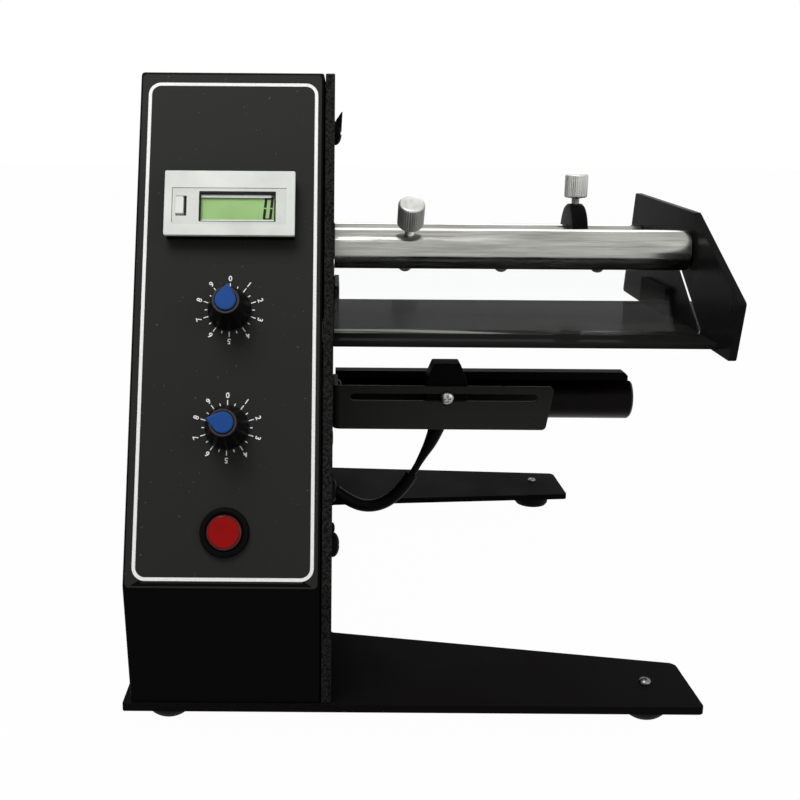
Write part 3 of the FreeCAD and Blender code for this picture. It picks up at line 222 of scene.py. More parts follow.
def bump(item, factor, distance, strength, under=None):
    """A normal that follows a factor as height, over another one where that is given."""
    made = node(item, "ShaderNodeBump", Strength=strength, Distance=distance)
    item.node_tree.links.new(factor, made.inputs["Height"])
    if under is not None:
        item.node_tree.links.new(under, made.inputs["Normal"])
    return made.outputs["Normal"]


def powder_coat():
    """Black wrinkle coat: close, rounded pimples, with a slight sheen painted as a lighter colour on their
    tops and painted shade in their hollows.
    """
    item = principled("wrinkle_powder_coat", (0.012, 0.013, 0.012), 0.55, Specular_IOR_Level=0.015)
    cells = node(item, "ShaderNodeTexVoronoi", Scale=1250)
    cells.feature = "SMOOTH_F1"
    item.node_tree.links.new(coords(item), cells.inputs["Vector"])
    # painted sheen: the pimples' tops are coloured lighter and their hollows darker
    sheen_painted_on_tops = [(0.05, (0.027, 0.0285, 0.026)), (0.6, (0.005, 0.0053, 0.005))]
    link(item, ramp(item, cells.outputs["Distance"], sheen_painted_on_tops), "Base Color")
    rough = bump(item, cells.outputs["Distance"], 0.0004, 1.0)
    link(item, bump(item, noise(item, 420, 3), 0.00025, 0.6, rough), "Normal")
    return item


def satin_black(name, colour, rough, level, grain=0.03, sheen_noise=0.08):
    """Sprayed satin paint with faint orange peel and handling marks in its gloss."""
    item = principled(name, colour, rough, Specular_IOR_Level=level)
    marks = noise(item, 26, 4, 0.6)
    link(item, ramp(item, marks, [(0.3, rough - sheen_noise), (0.7, rough + sheen_noise)]), "Roughness")
    dust = noise(item, 1500, 2, 0.7)
    pale = tuple(min(1, c * 1.8 + 0.008) for c in colour)
    link(item, ramp(item, dust, [(0.0, colour), (0.69, colour), (0.78, pale)]), "Base Color")
    link(item, bump(item, noise(item, 650, 2), 0.0001, grain * 4), "Normal")
    return item


def panel_film():
    """Matt screen-printed film with a fine velvet grain and a few pale specks of dust."""
    dark = (0.0185, 0.0185, 0.0178)
    item = principled("panel_film", dark, 0.5, Specular_IOR_Level=0.06)
    dust = noise(item, 900, 1, 0.5)
    link(item, ramp(item, dust, [(0.0, dark), (0.755, dark), (0.8, (0.085, 0.088, 0.08))]), "Base Color")
    link(item, bump(item, noise(item, 2600, 2), 0.00005, 0.35), "Normal")
    return item


def metal(name, colour, rough, stretch=(1, 1, 1), streak=0.06, scale=300, deep=0.82, depth=0.00002):
    """Bare or plated metal with fine streaks in its gloss."""
    item = principled(name, colour, rough, 1.0)
    lines = noise(item, scale, 3, 0.6, stretch)
    link(item, ramp(item, lines, [(0.3, max(0.02, rough - streak)), (0.7, rough + streak)]), "Roughness")
    dark = tuple(c * deep for c in colour)
    link(item, ramp(item, lines, [(0.25, dark), (0.6, colour)]), "Base Color")
    link(item, bump(item, lines, depth, 0.3), "Normal")
    return item


def moulded(name, colour, rough, grain=1400, depth=0.00004, **sockets):
    """Moulded plastic with a fine spark-eroded grain."""
    item = principled(name, colour, rough, **sockets)
    link(item, bump(item, noise(item, grain, 2), depth, 0.5), "Normal")
    shade = tuple(c * 0.86 for c in colour)
    link(item, ramp(item, noise(item, 60, 3), [(0.35, shade), (0.65, colour)]), "Base Color")
    return item


def clear_acrylic(name, colour):
    """Clear or tinted acrylic with faint smears in its gloss."""
    item = principled(name, colour, 0.02, IOR=1.18, Transmission_Weight=1.0)
    smears = noise(item, 40, 4, 0.6)
    link(item, ramp(item, smears, [(0.45, 0.01), (0.8, 0.06)]), "Roughness")
    return item


def window_film():
    """Thin clear window that lets the lamps reach the display behind it."""
    item = principled("clear_window", (0.15, 0.16, 0.15), 0.1, Alpha=0.05, Specular_IOR_Level=0.2)
    link(item, bump(item, noise(item, 500, 2), 0.00002, 0.3), "Normal")
    return item


def print_ink(name, colour):
    """Screen-printed ink, a little uneven."""
    item = principled(name, colour, 0.5, Specular_IOR_Level=0.1)
    link(item, ramp(item, noise(item, 1500, 2), [(0.3, tuple(c * 0.9 for c in colour)), (0.6, colour)]),
         "Base Color")
    return item


MATERIALS = {
    "coat": powder_coat(),
    "shell": satin_black("housing_satin", (0.0034, 0.0029, 0.003), 0.45, 0.012),
    "base": satin_black("base_satin", (0.0056, 0.0049, 0.0052), 0.5, 0.006),
    "plate": satin_black("end_plate_satin", (0.0094, 0.009, 0.0089), 0.3, 0.005),
    "bracket": satin_black("bracket_satin", (0.026, 0.0267, 0.0235), 0.4, 0.02),
    "table": satin_black("table_gloss", (0.0125, 0.013, 0.0122), 0.1, 0.0006, 0.004, 0.03),
    "film": panel_film(),
    # the chrome's strong colour streaks round the bars are partly polishing marks and partly painted
    # reflection bands
    "chrome": metal("polished_chrome", (0.43, 0.43, 0.4), 0.2, (0.06, 1, 1), 0.08, 520, 0.6, 0.0001),
    "nickel": metal("nickel_plate", (0.58, 0.58, 0.56), 0.5, (1, 1, 0.2), 0.05, 500),
    "zinc": metal("zinc_plate", (0.42, 0.42, 0.41), 0.3, (1, 1, 1), 0.06, 700),
    "dark_screw": metal("black_oxide", (0.045, 0.045, 0.045), 0.34, (1, 1, 1), 0.06, 700),
    "worn_screw": metal("worn_zinc", (0.2, 0.2, 0.195), 0.3, (1, 1, 1), 0.08, 900, 0.5),
    "brass": metal("turned_brass", (0.62, 0.47, 0.2), 0.28),
    "case": metal("motor_case", (0.45, 0.45, 0.44), 0.4),
    "black": moulded("black_moulding", (0.0046, 0.0044, 0.0046), 0.42, Specular_IOR_Level=0.012),
    "knob": moulded("knob_black", (0.0024, 0.0024, 0.0026), 0.45, 900, Specular_IOR_Level=0.08),
    "rim": moulded("knob_rim", (0.04, 0.03, 0.025), 0.4, 900, Specular_IOR_Level=0.2),
    "silver": moulded("silver_moulding", (0.7, 0.725, 0.68), 0.42, 1700, 0.00003, Specular_IOR_Level=0.3),
    "field": moulded("silver_field", (0.64, 0.665, 0.62), 0.5, 1100, 0.0003, Specular_IOR_Level=0.25),
    "blue": moulded("blue_cap", (0.014, 0.066, 0.255), 0.42, 1300, Specular_IOR_Level=0.08),
    "red": moulded("red_button", (0.27, 0.003, 0.003), 0.32, 400, 0.00006, Specular_IOR_Level=0.08),
    # a darker copy of the button's red, used as painted shade on its sloped skirt
    "red_painted_shade": moulded("red_button_painted_shade", (0.045, 0.003, 0.003), 0.25, 400, 0.00006, Specular_IOR_Level=0.3),
    "lcd": moulded("display_green", (0.37, 0.62, 0.235), 0.35, 3000, 0.00001, Specular_IOR_Level=0.1),
    "rubber": moulded("moulded_rubber", (0.005, 0.0048, 0.0048), 0.62, 900, 0.0001, Specular_IOR_Level=0.05),
    "jacket": moulded("cable_jacket", (0.0045, 0.0043, 0.0045), 0.4, 900, 0.00005, Specular_IOR_Level=0.03),
    "anodised": metal("black_anodised", (0.0062, 0.0055, 0.0058), 0.42, (0.3, 1, 1), 0.05, 900),
    "board": moulded("board_green", (0.02, 0.12, 0.04), 0.45),
    "white_ink": print_ink("white_ink", (0.88, 0.88, 0.87)),
    "black_ink": print_ink("black_ink", (0.006, 0.006, 0.006)),
    "clear": clear_acrylic("clear_acrylic", (0.985, 0.995, 0.99)),
    "clear_edge": clear_acrylic("cut_acrylic_edge", (0.4, 0.43, 0.4)),
    "window": window_film(),
}

USES = {
    "coat": ["side_plate"],
    "shell": ["housing_shell"],
    "base": ["base_plate"],
    "plate": ["end_plate"],
    "bracket": ["sensor_bracket"],
    "table": ["peel_table"],
    "film": ["panel_overlay"],
    "chrome": ["press_rod", "rear_rod", "press_tube"],
    "nickel": ["press_thumbscrew", "collar_thumbscrew"],
    "zinc": ["rod_heads", "sensor_lock_screw", "supply_axle", "drive_shaft"],
    "brass": ["length_shaft", "speed_shaft"],
    "case": ["drive_gearbox", "drive_motor", "length_potentiometer", "speed_potentiometer", "transformer"],
    "black": ["edge_collar", "paper_clip", "sensor_head", "power_switch_case", "counter_case",
              "counter_clip", "power_inlet", "supply_spindle", "spindle_bush", "board_rails"],
    "knob": ["length_knob", "speed_knob"],
    "silver": ["counter_bezel", "counter_reset_button"],
    "blue": ["length_knob_cap", "speed_knob_cap"],
    "red": ["power_button"],
    "lcd": ["counter_display"],
    "rubber": ["rubber_feet", "cable_grommet"],
    "jacket": ["sensor_lead", "sensor_cable"],
    "anodised": ["takeup_spindle"],
    "board": ["control_board"],
    "clear": ["press_flap"],
    "window": ["counter_window"],
}
for key, names in USES.items():
    for name in names:
        mesh = NODES[name].data
        mesh.materials.clear()
        mesh.materials.append(MATERIALS[key])

# Making pieces


def new_piece(name, mesh, key, body):
    """Put a mesh into the scene with its material; it rides with its body."""
    mesh.materials.clear()
    mesh.materials.append(MATERIALS[key])
    piece = bpy.data.objects.new(name, mesh)
    bpy.context.scene.collection.objects.link(piece)
    if body:
        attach(piece, body)
    return piece


def from_bmesh(name, form):
    """Make a mesh of a form, with all its faces looking outwards."""
    mesh = bpy.data.meshes.new(name)
    bmesh.ops.recalc_face_normals(form, faces=form.faces)
    form.to_mesh(mesh)
    form.free()
    return mesh


def smooth(mesh, degrees):
    """Shade faces smooth, and keep every edge sharper than the angle."""
    limit = radians(degrees)
    form = bmesh.new()
    form.from_mesh(mesh)
    for face in form.faces:
        face.smooth = True
    for edge in form.edges:
        edge.smooth = len(edge.link_faces) == 2 and edge.calc_face_angle(0) < limit
    form.to_mesh(mesh)
    form.free()


BODY_OF = {name: body for body, names in frame["record"]["behaviour"]["bodies"].items() for name in names}
KEY_OF = {name: key for key, names in USES.items() for name in names}


def even(piece):
    """Shade broad faces flat and let the small faces beside them carry the curve."""
    modifier = piece.modifiers.new("even_shading", "WEIGHTED_NORMAL")
    modifier.keep_sharp = True
    modifier.weight = 100


FRONT = MIDDLE_Y - 138.73  # the foremost point of the part
CHIN_SHIFT = 5.8  # how much steeper the chin stands at its foot
CHIN_HEIGHT = RIDGE_Z - BASE_HIGH
CHIN_REACH = 14  # what lies behind it isn't of the chin


def foot_of_chin(place):
    """Below the ridge the front stands a little steeper."""
    if place.z < RIDGE_Z and place.y < CHIN_REACH:
        shift = CHIN_SHIFT * (RIDGE_Z - place.z) / CHIN_HEIGHT
        place.y = max(place.y - shift, min(place.y, FRONT))


def film_edge(place):
    """The film reaches close to the panel's edges, with corners of a third of the sub-part's."""
    turn = panel_matrix(0).inverted()
    spot = turn @ at(*place)
    half, low, high = 33, 1, 186.66  # the sub-part's edges; its corners have a radius of 5
    new_half, new_low, new_high, share = 33.1, -0.3, 186.6, 0.3
    reach = abs(spot.x)
    if reach > half - 5.1:
        spot.x = (new_half - (half - reach) * share) * (1 if spot.x > 0 else -1)
    if spot.y < low + 5.1:
        spot.y = new_low + (spot.y - low) * share
    elif spot.y > high - 5.16:
        spot.y = new_high - (high - spot.y) * share
    spot = turn.inverted() @ spot
    place.xyz = (spot.x / MM + MIDDLE_X, max(spot.y / MM + MIDDLE_Y, FRONT), spot.z / MM)


def flap_to_plate(place):
    """The flap's left edge runs just clear of the side plate."""
    if place.x < 4:
        place.x = 0.3


def to_plate(place):
    """The spindle's and the clip's left ends come close to the side plate."""
    if place.x < 3:
        place.x -= 1.3 if place.x > 2.2 else 0.4


def round_contour(form):
    """Round the shell's long outer edges: the bend at its left wall, the fold at the side plate."""
    middle = at(PANEL_X, 135, 120)
    form.normal_update()
    for x, size in ((PANEL_X - 34, 1.1), (PANEL_X + 34, 0.8)):
        level = at(x, 0, 0).x
        chain = []
        for edge in form.edges:
            if len(edge.link_faces) != 2 or any(abs(v.co.x - level) > 2e-5 for v in edge.verts):
                continue
            centre = (edge.verts[0].co + edge.verts[1].co) / 2
            if any(abs(f.normal.x) < 0.1 and f.normal.dot(centre - middle) > 0.02 for f in edge.link_faces):
                chain.append(edge)
        bmesh.ops.bevel(form, geom=chain, offset=size * MM, segments=3, profile=0.5, affect="EDGES",
                        clamp_overlap=False)


def dress(name, bevel, shape=None, contour=None):
    """A finer copy of a sub-part: flat faces joined, edges broken by a small radius, curves smooth."""
    form = bmesh.new()
    form.from_mesh(NODES[name].data)
    bmesh.ops.remove_doubles(form, verts=form.verts, dist=1e-6)
    if shape:
        for vert in form.verts:
            place = Vector((vert.co.x / MM + MIDDLE_X, vert.co.y / MM + MIDDLE_Y, vert.co.z / MM))
            shape(place)
            vert.co = at(*place)
    bmesh.ops.dissolve_limit(form, angle_limit=radians(0.5), verts=form.verts, edges=form.edges)
    if contour:
        contour(form)
    sharp = [e for e in form.edges if len(e.link_faces) == 2 and e.calc_face_angle(0) > radians(38)]
    if bevel:
        bmesh.ops.bevel(form, geom=sharp, offset=bevel * MM, segments=2, profile=0.5,
                        affect="EDGES", clamp_overlap=True)
    mesh = from_bmesh(f"{name}_finish", form)
    smooth(mesh, 50)
    piece = new_piece(f"{name}_finish", mesh, KEY_OF[name], BODY_OF[name])
    even(piece)
    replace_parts(piece, name)
    return piece


dress("side_plate", 0.35, shape=foot_of_chin)
dress("housing_shell", 0.15, shape=foot_of_chin, contour=round_contour)
dress("takeup_spindle", 0.15, shape=to_plate)
dress("paper_clip", 0.2, shape=to_plate)
dress("panel_overlay", 0.1, shape=film_edge)
dress("peel_table", 0.3)


def clear_flap():
    """The clear flap, with the darker look of a cut edge along its front."""
    flap = dress("press_flap", 0, shape=flap_to_plate)
    flap.data.materials.append(MATERIALS["clear_edge"])
    front = min(face.center.y for face in flap.data.polygons)
    for face in flap.data.polygons:
        if face.normal.y < -0.6 and face.center.y < front + MM:
            face.material_index = 1


clear_flap()
for name, bevel in (
        ("end_plate", 0.3), ("sensor_bracket", 0.25), ("sensor_head", 0.8), ("length_knob_cap", 0.55),
        ("speed_knob_cap", 0.55), ("power_inlet", 0.2), ("supply_axle", 0.4)):
    dress(name, bevel)


def prism(points, low, high):
    """A closed outline in millimetres, raised from low to high."""
    form = bmesh.new()
    rings = [[form.verts.new((u, v, h)) for u, v in points] for h in (low, high)]
    count = len(points)
    for i in range(count):
        j = (i + 1) % count
        form.faces.new((rings[0][i], rings[0][j], rings[1][j], rings[1][i]))
    form.faces.new(rings[0])
    form.faces.new(rings[1])
    return form


def rounded(left, low, right, high, radius, steps=8):
    """The outline of a rectangle with round corners."""
    points = []
    for u, v, start in ((right - radius, high - radius, 0), (left + radius, high - radius, 90),
                        (left + radius, low + radius, 180), (right - radius, low + radius, 270)):
        for k in range(steps + 1):
            turn = radians(start + 90 * k / steps)
            points.append((u + radius * cos(turn), v + radius * sin(turn)))
    return points


def band(outer, inner, low, high):
    """A closed frame between two outlines of the same number of points."""
    form = bmesh.new()
    rings = [[form.verts.new((u, v, h)) for u, v in points]
             for points, h in ((outer, low), (outer, high), (inner, high), (inner, low))]
    count = len(outer)
    for i in range(count):
        j = (i + 1) % count
        for k in range(4):
            first, second = rings[k], rings[(k + 1) % 4]
            form.faces.new((first[i], first[j], second[j], second[i]))
    return form


def merge(form, other, matrix=None):
    """Add one bmesh to another, placed by a matrix."""
    if matrix is not None:
        bmesh.ops.transform(other, matrix=matrix, verts=other.verts)
    mesh = bpy.data.meshes.new("part")
    other.to_mesh(mesh)
    other.free()
    form.from_mesh(mesh)
    bpy.data.meshes.remove(mesh)


def plate(left, low, right, high, bottom, top):
    """A small flat plate with square corners."""
    return prism([(left, low), (right, low), (right, high), (left, high)], bottom, top)


TURNS = {
    "up": Matrix.Identity(4),
    "down": Matrix.Rotation(pi, 4, "X"),
    "right": Matrix.Rotation(pi / 2, 4, "Y"),
    "left": Matrix.Rotation(-pi / 2, 4, "Y"),
    "front": Matrix.Rotation(pi / 2, 4, "X"),
}
TILT = radians(34.6)


def facing(x, y, z, way="up"):
    """Axes at a point of the machine, in millimetres, their Z in one of the main directions."""
    return Matrix.Translation(at(x, y, z)) @ TURNS[way] @ Matrix.Scale(MM, 4)


def flap_matrix(x, out):
    """Axes on the press tube's own axis, Z off the resting flap, out millimetres from it."""
    turn = Matrix.Rotation(TILT, 4, "X")
    lift = Matrix.Translation((0, 0, out * MM))
    return Matrix.Translation(at(x, *PRESS_ROD)) @ turn @ lift @ Matrix.Scale(MM, 4)


def lathe(section, sides=72, closed=False, ripple=None):
    """Turn a section of radii and heights about Z; a ripple moves each radius by angle and height."""
    form = bmesh.new()
    rings = []
    for radius, height in section:
        if radius < 1e-6:
            rings.append([form.verts.new((0, 0, height))])
            continue
        ring = []
        for k in range(sides):
            angle = 2 * pi * k / sides
            r = radius + (ripple(k, radius, height) if ripple else 0)
            ring.append(form.verts.new((r * cos(angle), r * sin(angle), height)))
        rings.append(ring)
    if closed:
        rings.append(rings[0])
    for first, second in zip(rings, rings[1:]):
        if len(first) == 1 and len(second) == 1:
            continue
        for k in range(sides):
            j = (k + 1) % sides
            if len(first) == 1:
                form.faces.new((first[0], second[k], second[j]))
            elif len(second) == 1:
                form.faces.new((first[k], first[j], second[0]))
            else:
                form.faces.new((first[k], first[j], second[j], second[k]))
    return form


def finish(name, form, matrix, key, body, node_name=None, degrees=40):
    """Place a form, shade it and let it stand for a sub-part where one is named."""
    bmesh.ops.transform(form, matrix=matrix, verts=form.verts)
    mesh = from_bmesh(name, form)
    smooth(mesh, degrees)
    piece = new_piece(name, mesh, key, body)
    even(piece)
    if node_name:
        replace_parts(piece, node_name)
    return piece


def round_head(width, rise, recess=True):
    """A domed screw head with a cross recess that narrows towards its floor."""
    radius = width / 2
    levels = 13
    section = [(0, -0.3), (radius - 0.1, -0.3), (radius, -0.1)]
    for k in range(levels + 1):
        lean = pi / 2 * k / levels
        section.append((radius * cos(lean), 0.12 * rise + 0.88 * rise * sin(lean)))
    section[-1] = (0, rise)
    form = lathe(section, 64)
    if recess:
        arm, half, depth = radius * 0.55, radius * 0.13, rise * 0.6
        for vert in form.verts:
            x, y, z = vert.co
            if z < rise * 0.3:
                continue
            for along_arm, across_arm in ((abs(x), abs(y)), (abs(y), abs(x))):
                if along_arm < arm and across_arm < half:
                    vert.co.z = z - depth * (1 - 0.55 * along_arm / arm)
                    break
    return form


def socket_head(width, rise):
    """A cap screw head with a hexagon socket."""
    radius = width / 2
    form = lathe([(0, -0.3), (radius, -0.3), (radius, rise - 0.5), (radius - 0.15, rise - 0.15),
                  (radius - 0.5, rise), (radius * 0.6, rise)], 64)
    rim = [v for v in form.verts if abs(v.co.z - rise) < 1e-6 and abs(v.co.xy.length - radius * 0.6) < 1e-4]
    rim.sort(key=lambda v: atan2(v.co.y, v.co.x))
    wall = []
    for level, reach in ((rise, radius * 0.47), (rise - 2.2, radius * 0.47)):
        ring = []
        for v in rim:
            angle = atan2(v.co.y, v.co.x)
            apart = (angle % (pi / 3)) - pi / 6
            r = reach * cos(pi / 6) / cos(apart)
            ring.append(form.verts.new((r * cos(angle), r * sin(angle), level)))
        wall.append(ring)
    count = len(rim)
    for first, second in ((rim, wall[0]), (wall[0], wall[1])):
        for k in range(count):
            j = (k + 1) % count
            form.faces.new((first[k], first[j], second[j], second[k]))
    form.faces.new(wall[1])
    return form


def screws(name, places, key, make):
    """One piece made of equal screw heads; places are matrices in millimetres."""
    form = bmesh.new()
    for place in places:
        merge(form, make(), place)
    mesh = from_bmesh(name, form)
    smooth(mesh, 32)
    return new_piece(name, mesh, key, "frame")


def fasteners():
    """Screw heads in their places, the sprung tab of the hole plug, and the flap's three screws."""
    screws("side_plate_screws", [facing(0, 17, 68.4, "right"), facing(0, 76.9, 213.3, "right")], "black",
           lambda: round_head(9, 2.7))
    tab = prism([(-8.6, -1.2), (-3.4, -2.6), (-1.2, 3), (-4.6, 2.4)], -0.2, 2.6)
    for vert in tab.verts:
        if vert.co.x < -8 and vert.co.z > 0:
            vert.co.z = 2.9
        elif vert.co.x < -8:
            vert.co.z = 2.5
    finish("hole_plug_tab", tab, facing(0, 76.9, 212.7, "right"), "black", "frame")
    screws("side_plate_pins", [facing(0, 12.5, 76.5, "right")], "black", lambda: round_head(4, 1, False))
    screws("side_plate_rear_screws", [facing(0, 248, z, "right") for z in (40, 138)], "dark_screw",
           lambda: round_head(8.2, 0.35))
    screws("foot_screws", [facing(FOOT_RIGHT, y, BASE_HIGH) for y in (FOOT_FRONT, FOOT_REAR)], "worn_screw",
           lambda: round_head(4.6, 1.7))
    screws("base_screws", [facing(-10.5, y, BASE_LOW, "down") for y in (44, 136, 228)], "zinc",
           lambda: round_head(7, 0.5))
    screws("bracket_screws", [facing(2, 99.7, z, "right") for z in (96.7, 107.3)], "dark_screw",
           lambda: round_head(5.6, 1.8))
    screws("table_screws", [facing(END_FACE, y, 141.5, "right") for y in (133, 155)], "dark_screw",
           lambda: round_head(7.4, 2.3))
    screws("board_screws", [facing(-13.1, y, z, "left") for y in (32, 88) for z in (22.5, 71.5)], "zinc",
           lambda: round_head(4, 1.3))
    heads = screws("rod_cap_screws", [facing(END_FACE, *axis, "right") for axis in (PRESS_ROD, REAR_ROD)],
                   "dark_screw", lambda: socket_head(10.5, 3.6))
    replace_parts(heads, "rod_heads")
    clips = bmesh.new()
    for x in (30.5, 71.8, 113.1):
        merge(clips, round_head(5.6, 1.5), flap_matrix(x, -10.55) @ TURNS["down"])
    mesh = from_bmesh("flap_screws", clips)
    smooth(mesh, 32)
    new_piece("flap_screws", mesh, "zinc", "press")


def knurled_screw(name, node_name, matrix, stem, body):
    """Hand screw with a straight-knurled head on a threaded stem."""
    grooves, sides = 36, 216
    top = stem + 11.4

    def ripple(k, radius, height):
        """Straight grooves round the head, between its two broken edges."""
        deep = radius > 5.2 and stem + 0.5 < height < top - 0.5
        return -0.2 * abs(((k * grooves / sides) % 1) * 2 - 1) if deep else 0

    section = [(0, 0)]
    turns = int(stem / 0.7)
    for k in range(turns):
        section += [(1.7, k * 0.7), (2.0, k * 0.7 + 0.35)]
    section += [(1.7, stem - 0.05), (4.3, stem), (5.05, stem + 0.25), (5.45, stem + 0.75), (5.5, stem + 0.9),
                (5.5, top - 0.9), (5.45, top - 0.75), (5.05, top - 0.25), (4.6, top), (4.2, top - 0.12),
                (0, top - 0.12)]
    return finish(name, lathe(section, sides, ripple=ripple), matrix, "nickel", body, node_name, 28)


def knob(name, up):
    """Smooth tapered knob, hollow underneath, with a fine rim round the pointer cap."""
    section = [(0, 3.4), (6, 3.4), (6, 0.8), (7.5, 0.8), (7.75, 0.95), (7.8, 1.3), (7.72, 2.4),
               (4.98, 14.95), (4.86, 15.25), (4.62, 15.4), (0, 15.4)]
    place = panel_matrix(up, FILM, DIAL_SHIFT)
    finish(f"{name}_knob_form", lathe(section, 96), place, "knob", f"{name}_dial", f"{name}_knob", 30)
    rim = [(3.95, 15.3), (4.05, 15.58), (4.5, 15.62), (4.72, 15.38), (4.6, 15.25)]
    finish(f"{name}_knob_rim", lathe(rim, 72, closed=True), place, "rim", f"{name}_dial")


def power_button():
    """Black switch body with its raised ring, and the red button: its sloped skirt a darker red as painted
    shade, bright domed lens.
    """
    place = panel_matrix(BUTTON_UP, FILM, DIAL_SHIFT)
    case = [(6.33, 1.6), (6.55, 1.95), (6.9, 2.15), (7.5, 2.2), (8.2, 1.95), (8.55, 1.4), (8.65, 0.7),
            (8.65, 0), (7.9, 0), (7.9, -27), (0, -27), (0, -6.8), (6.33, -6.8)]
    finish("power_switch_body", lathe(case, 96), place, "black", "frame", "power_switch_case", 30)
    skirt = [(0, -4), (6.25, -4), (6.25, 2.3), (6.1, 2.75), (5.7, 3.2), (5.5, 3.3), (5.4, 3.1), (0, 3.1)]
    # the skirt's darker red is painted shade on the button's sloped side
    finish("power_button_skirt", lathe(skirt, 96), place, "red_painted_shade", "power_button", "power_button", 40)
    lens = [(0, 3), (5.35, 3), (5.4, 3.45), (5.25, 3.66), (4.9, 3.72), (3.2, 3.77), (1.6, 3.79), (0, 3.8)]
    finish("power_button_lens", lathe(lens, 96), place, "red", "power_button", "power_button", 40)


def rods():
    """Rods, press tube, spindles' round parts, collar, feet, bush and grommet with their true edges."""
    rod = [(0, 0), (4.6, 0), (5, 0.4), (5, 149.6), (4.6, 150), (0, 150)]
    for name, axis in (("press_rod", PRESS_ROD), ("rear_rod", REAR_ROD)):
        finish(f"{name}_bar", lathe(rod, 96), facing(0, *axis, "right"), "chrome", "frame", name, 30)
    sleeve = [(5.08, 0.3), (5.2, 0.18), (8.35, 0.18), (8.5, 0.33), (8.5, 148.6), (8.1, 149), (5.4, 149),
              (5.08, 148.7)]
    finish("press_tube_body", lathe(sleeve, 128, closed=True), facing(0, *PRESS_ROD, "right"), "chrome",
           "press", "press_tube", 30)
    collar = [(5.08, 0.3), (5.4, 0), (14.3, 0), (15, 0.7), (15, 6.7), (14.3, 7.4), (5.4, 7.4), (5.08, 7.1)]
    finish("edge_collar_disc", lathe(collar, 96, closed=True), facing(113.7, *REAR_ROD, "right"), "black",
           "collar", "edge_collar", 50)
    spool = [(5.08, 1.3), (5.4, 1), (12.4, 1), (13, 1.6), (13, 3.5), (12.5, 4), (12, 4), (12, 148.7),
             (11.2, 149.5), (5.4, 149.5), (5.08, 149.2)]
    finish("supply_spindle_body", lathe(spool, 96, closed=True), facing(0, 250, 107, "right"), "black",
           "supply", "supply_spindle", 50)
    bush = [(4.08, -3.5), (8, -3.5), (8, 1.1), (7.6, 1.5), (4.4, 1.5), (4.08, 1.2)]
    finish("spindle_bush_body", lathe(bush, 72, closed=True), facing(0, 126.5, 96.5, "right"), "black",
           "frame", "spindle_bush", 40)
    grommet = [(0, -3.5), (4, -3.5), (4, 0), (4.8, 0), (5, 0.35), (4.8, 0.9), (4.1, 1.4), (3.2, 1.6),
               (0, 1.6)]
    finish("cable_grommet_body", lathe(grommet, 72), facing(0, 98, 60.6, "right"), "rubber", "frame",
           "cable_grommet", 50)
    feet = bmesh.new()
    domed = [(0, 0.3), (2.2, 0.3), (2.7, 0)] + [
        (9.75 * cos(a), 8.6 * (1 - sin(a))) for a in (radians(70 - 7 * k) for k in range(11))] + [
        (9.75, 10.2), (9.5, 10.8), (9.0, 11), (0, 11)]
    full = [(0, 0.35), (2.6, 0.35), (3.2, 0), (7.2, 0), (8.6, 0.5), (9.45, 1.6), (9.7, 3), (9.75, 4.6),
            (9.75, 10.2), (9.5, 10.8), (9.0, 11), (0, 11)]
    for x in (FOOT_LEFT, FOOT_RIGHT):
        merge(feet, lathe(domed, 72), facing(x, FOOT_FRONT, 0))
        merge(feet, lathe(full, 72), facing(x, FOOT_REAR, 0))
    finish("rubber_feet_domed", feet, Matrix.Identity(4), "rubber", "frame", "rubber_feet", 50)
    lock = round_head(5.7, 1.9)
    merge(lock, lathe([(0, -7), (1.3, -7), (1.5, -6.7), (1.5, 0), (0, 0)], 32))
    finish("sensor_lock_form", lock, facing(47.4, 83.62, 106.5, "front"), "zinc", "sensor_lock",
           "sensor_lock_screw", 32)


def corner_loop(corners, steps=5):
    """An outline whose corners are (x, y, radius)."""
    points = []
    count = len(corners)
    for i, (x, y, radius) in enumerate(corners):
        here = Vector((x, y))
        back = (Vector(corners[i - 1][:2]) - here).normalized()
        ahead = (Vector(corners[(i + 1) % count][:2]) - here).normalized()
        half = back.angle(ahead) / 2
        reach = radius / tan(half)
        centre = here + (back + ahead).normalized() * (radius / sin(half))
        start, end = here + back * reach - centre, here + ahead * reach - centre
        for k in range(steps + 1):
            turn = (start * (1 - k / steps) + end * (k / steps)).normalized() * radius
            points.append(tuple(centre + turn))
    return points


def base_plate():
    """The cut sheet with its two beams, corners slightly rounded and edges broken."""
    outline = corner_loop([
        (-74.8, 0, 0.5), (134, 0, 1.4), (133.2, 32, 2.2), (0, 56, 0.6), (0, 214, 0.6), (133.2, 226.6, 1.4),
        (132.6, 263.3, 2.2), (0, 272, 2), (-74.8, 272, 0.5)])
    form = prism(outline, BASE_LOW, BASE_HIGH)
    edges = [e for e in form.edges if abs(e.verts[0].co.z - e.verts[1].co.z) < 1e-6]
    bmesh.ops.bevel(form, geom=edges, offset=0.3, segments=2, profile=0.5, affect="EDGES", clamp_overlap=True)
    finish("base_plate_sheet", form, facing(0, 0, 0), "base", "frame", "base_plate", 30)


base_plate()
fasteners()
knurled_screw("press_screw_knurled", "press_thumbscrew", flap_matrix(31.5, 5.2), 7.6, "press_screw")
knurled_screw("collar_screw_knurled", "collar_thumbscrew", facing(117.4, REAR_ROD[0], 170.6), 12.6,
              "collar_screw")
knob("length", LENGTH_DIAL_UP)
knob("speed", SPEED_DIAL_UP)
power_button()
rods()

# Panel print

INK_LOW = FILM - 0.03
INK_HIGH = FILM + 0.05


def border():
    """The white line round the panel's print."""
    left, low, right, high, radius, line = -30.8, 2.15, 31.8, 183.35, 4.6, 1.2
    outer = rounded(left, low, right, high, radius)
    inner = rounded(left + line, low + line, right - line, high - line, radius - line)
    form = band(outer, inner, INK_LOW, INK_HIGH)
    bmesh.ops.transform(form, matrix=panel_matrix(0), verts=form.verts)
    new_piece("panel_border_line", from_bmesh("panel_border_line", form), "white_ink", "frame")


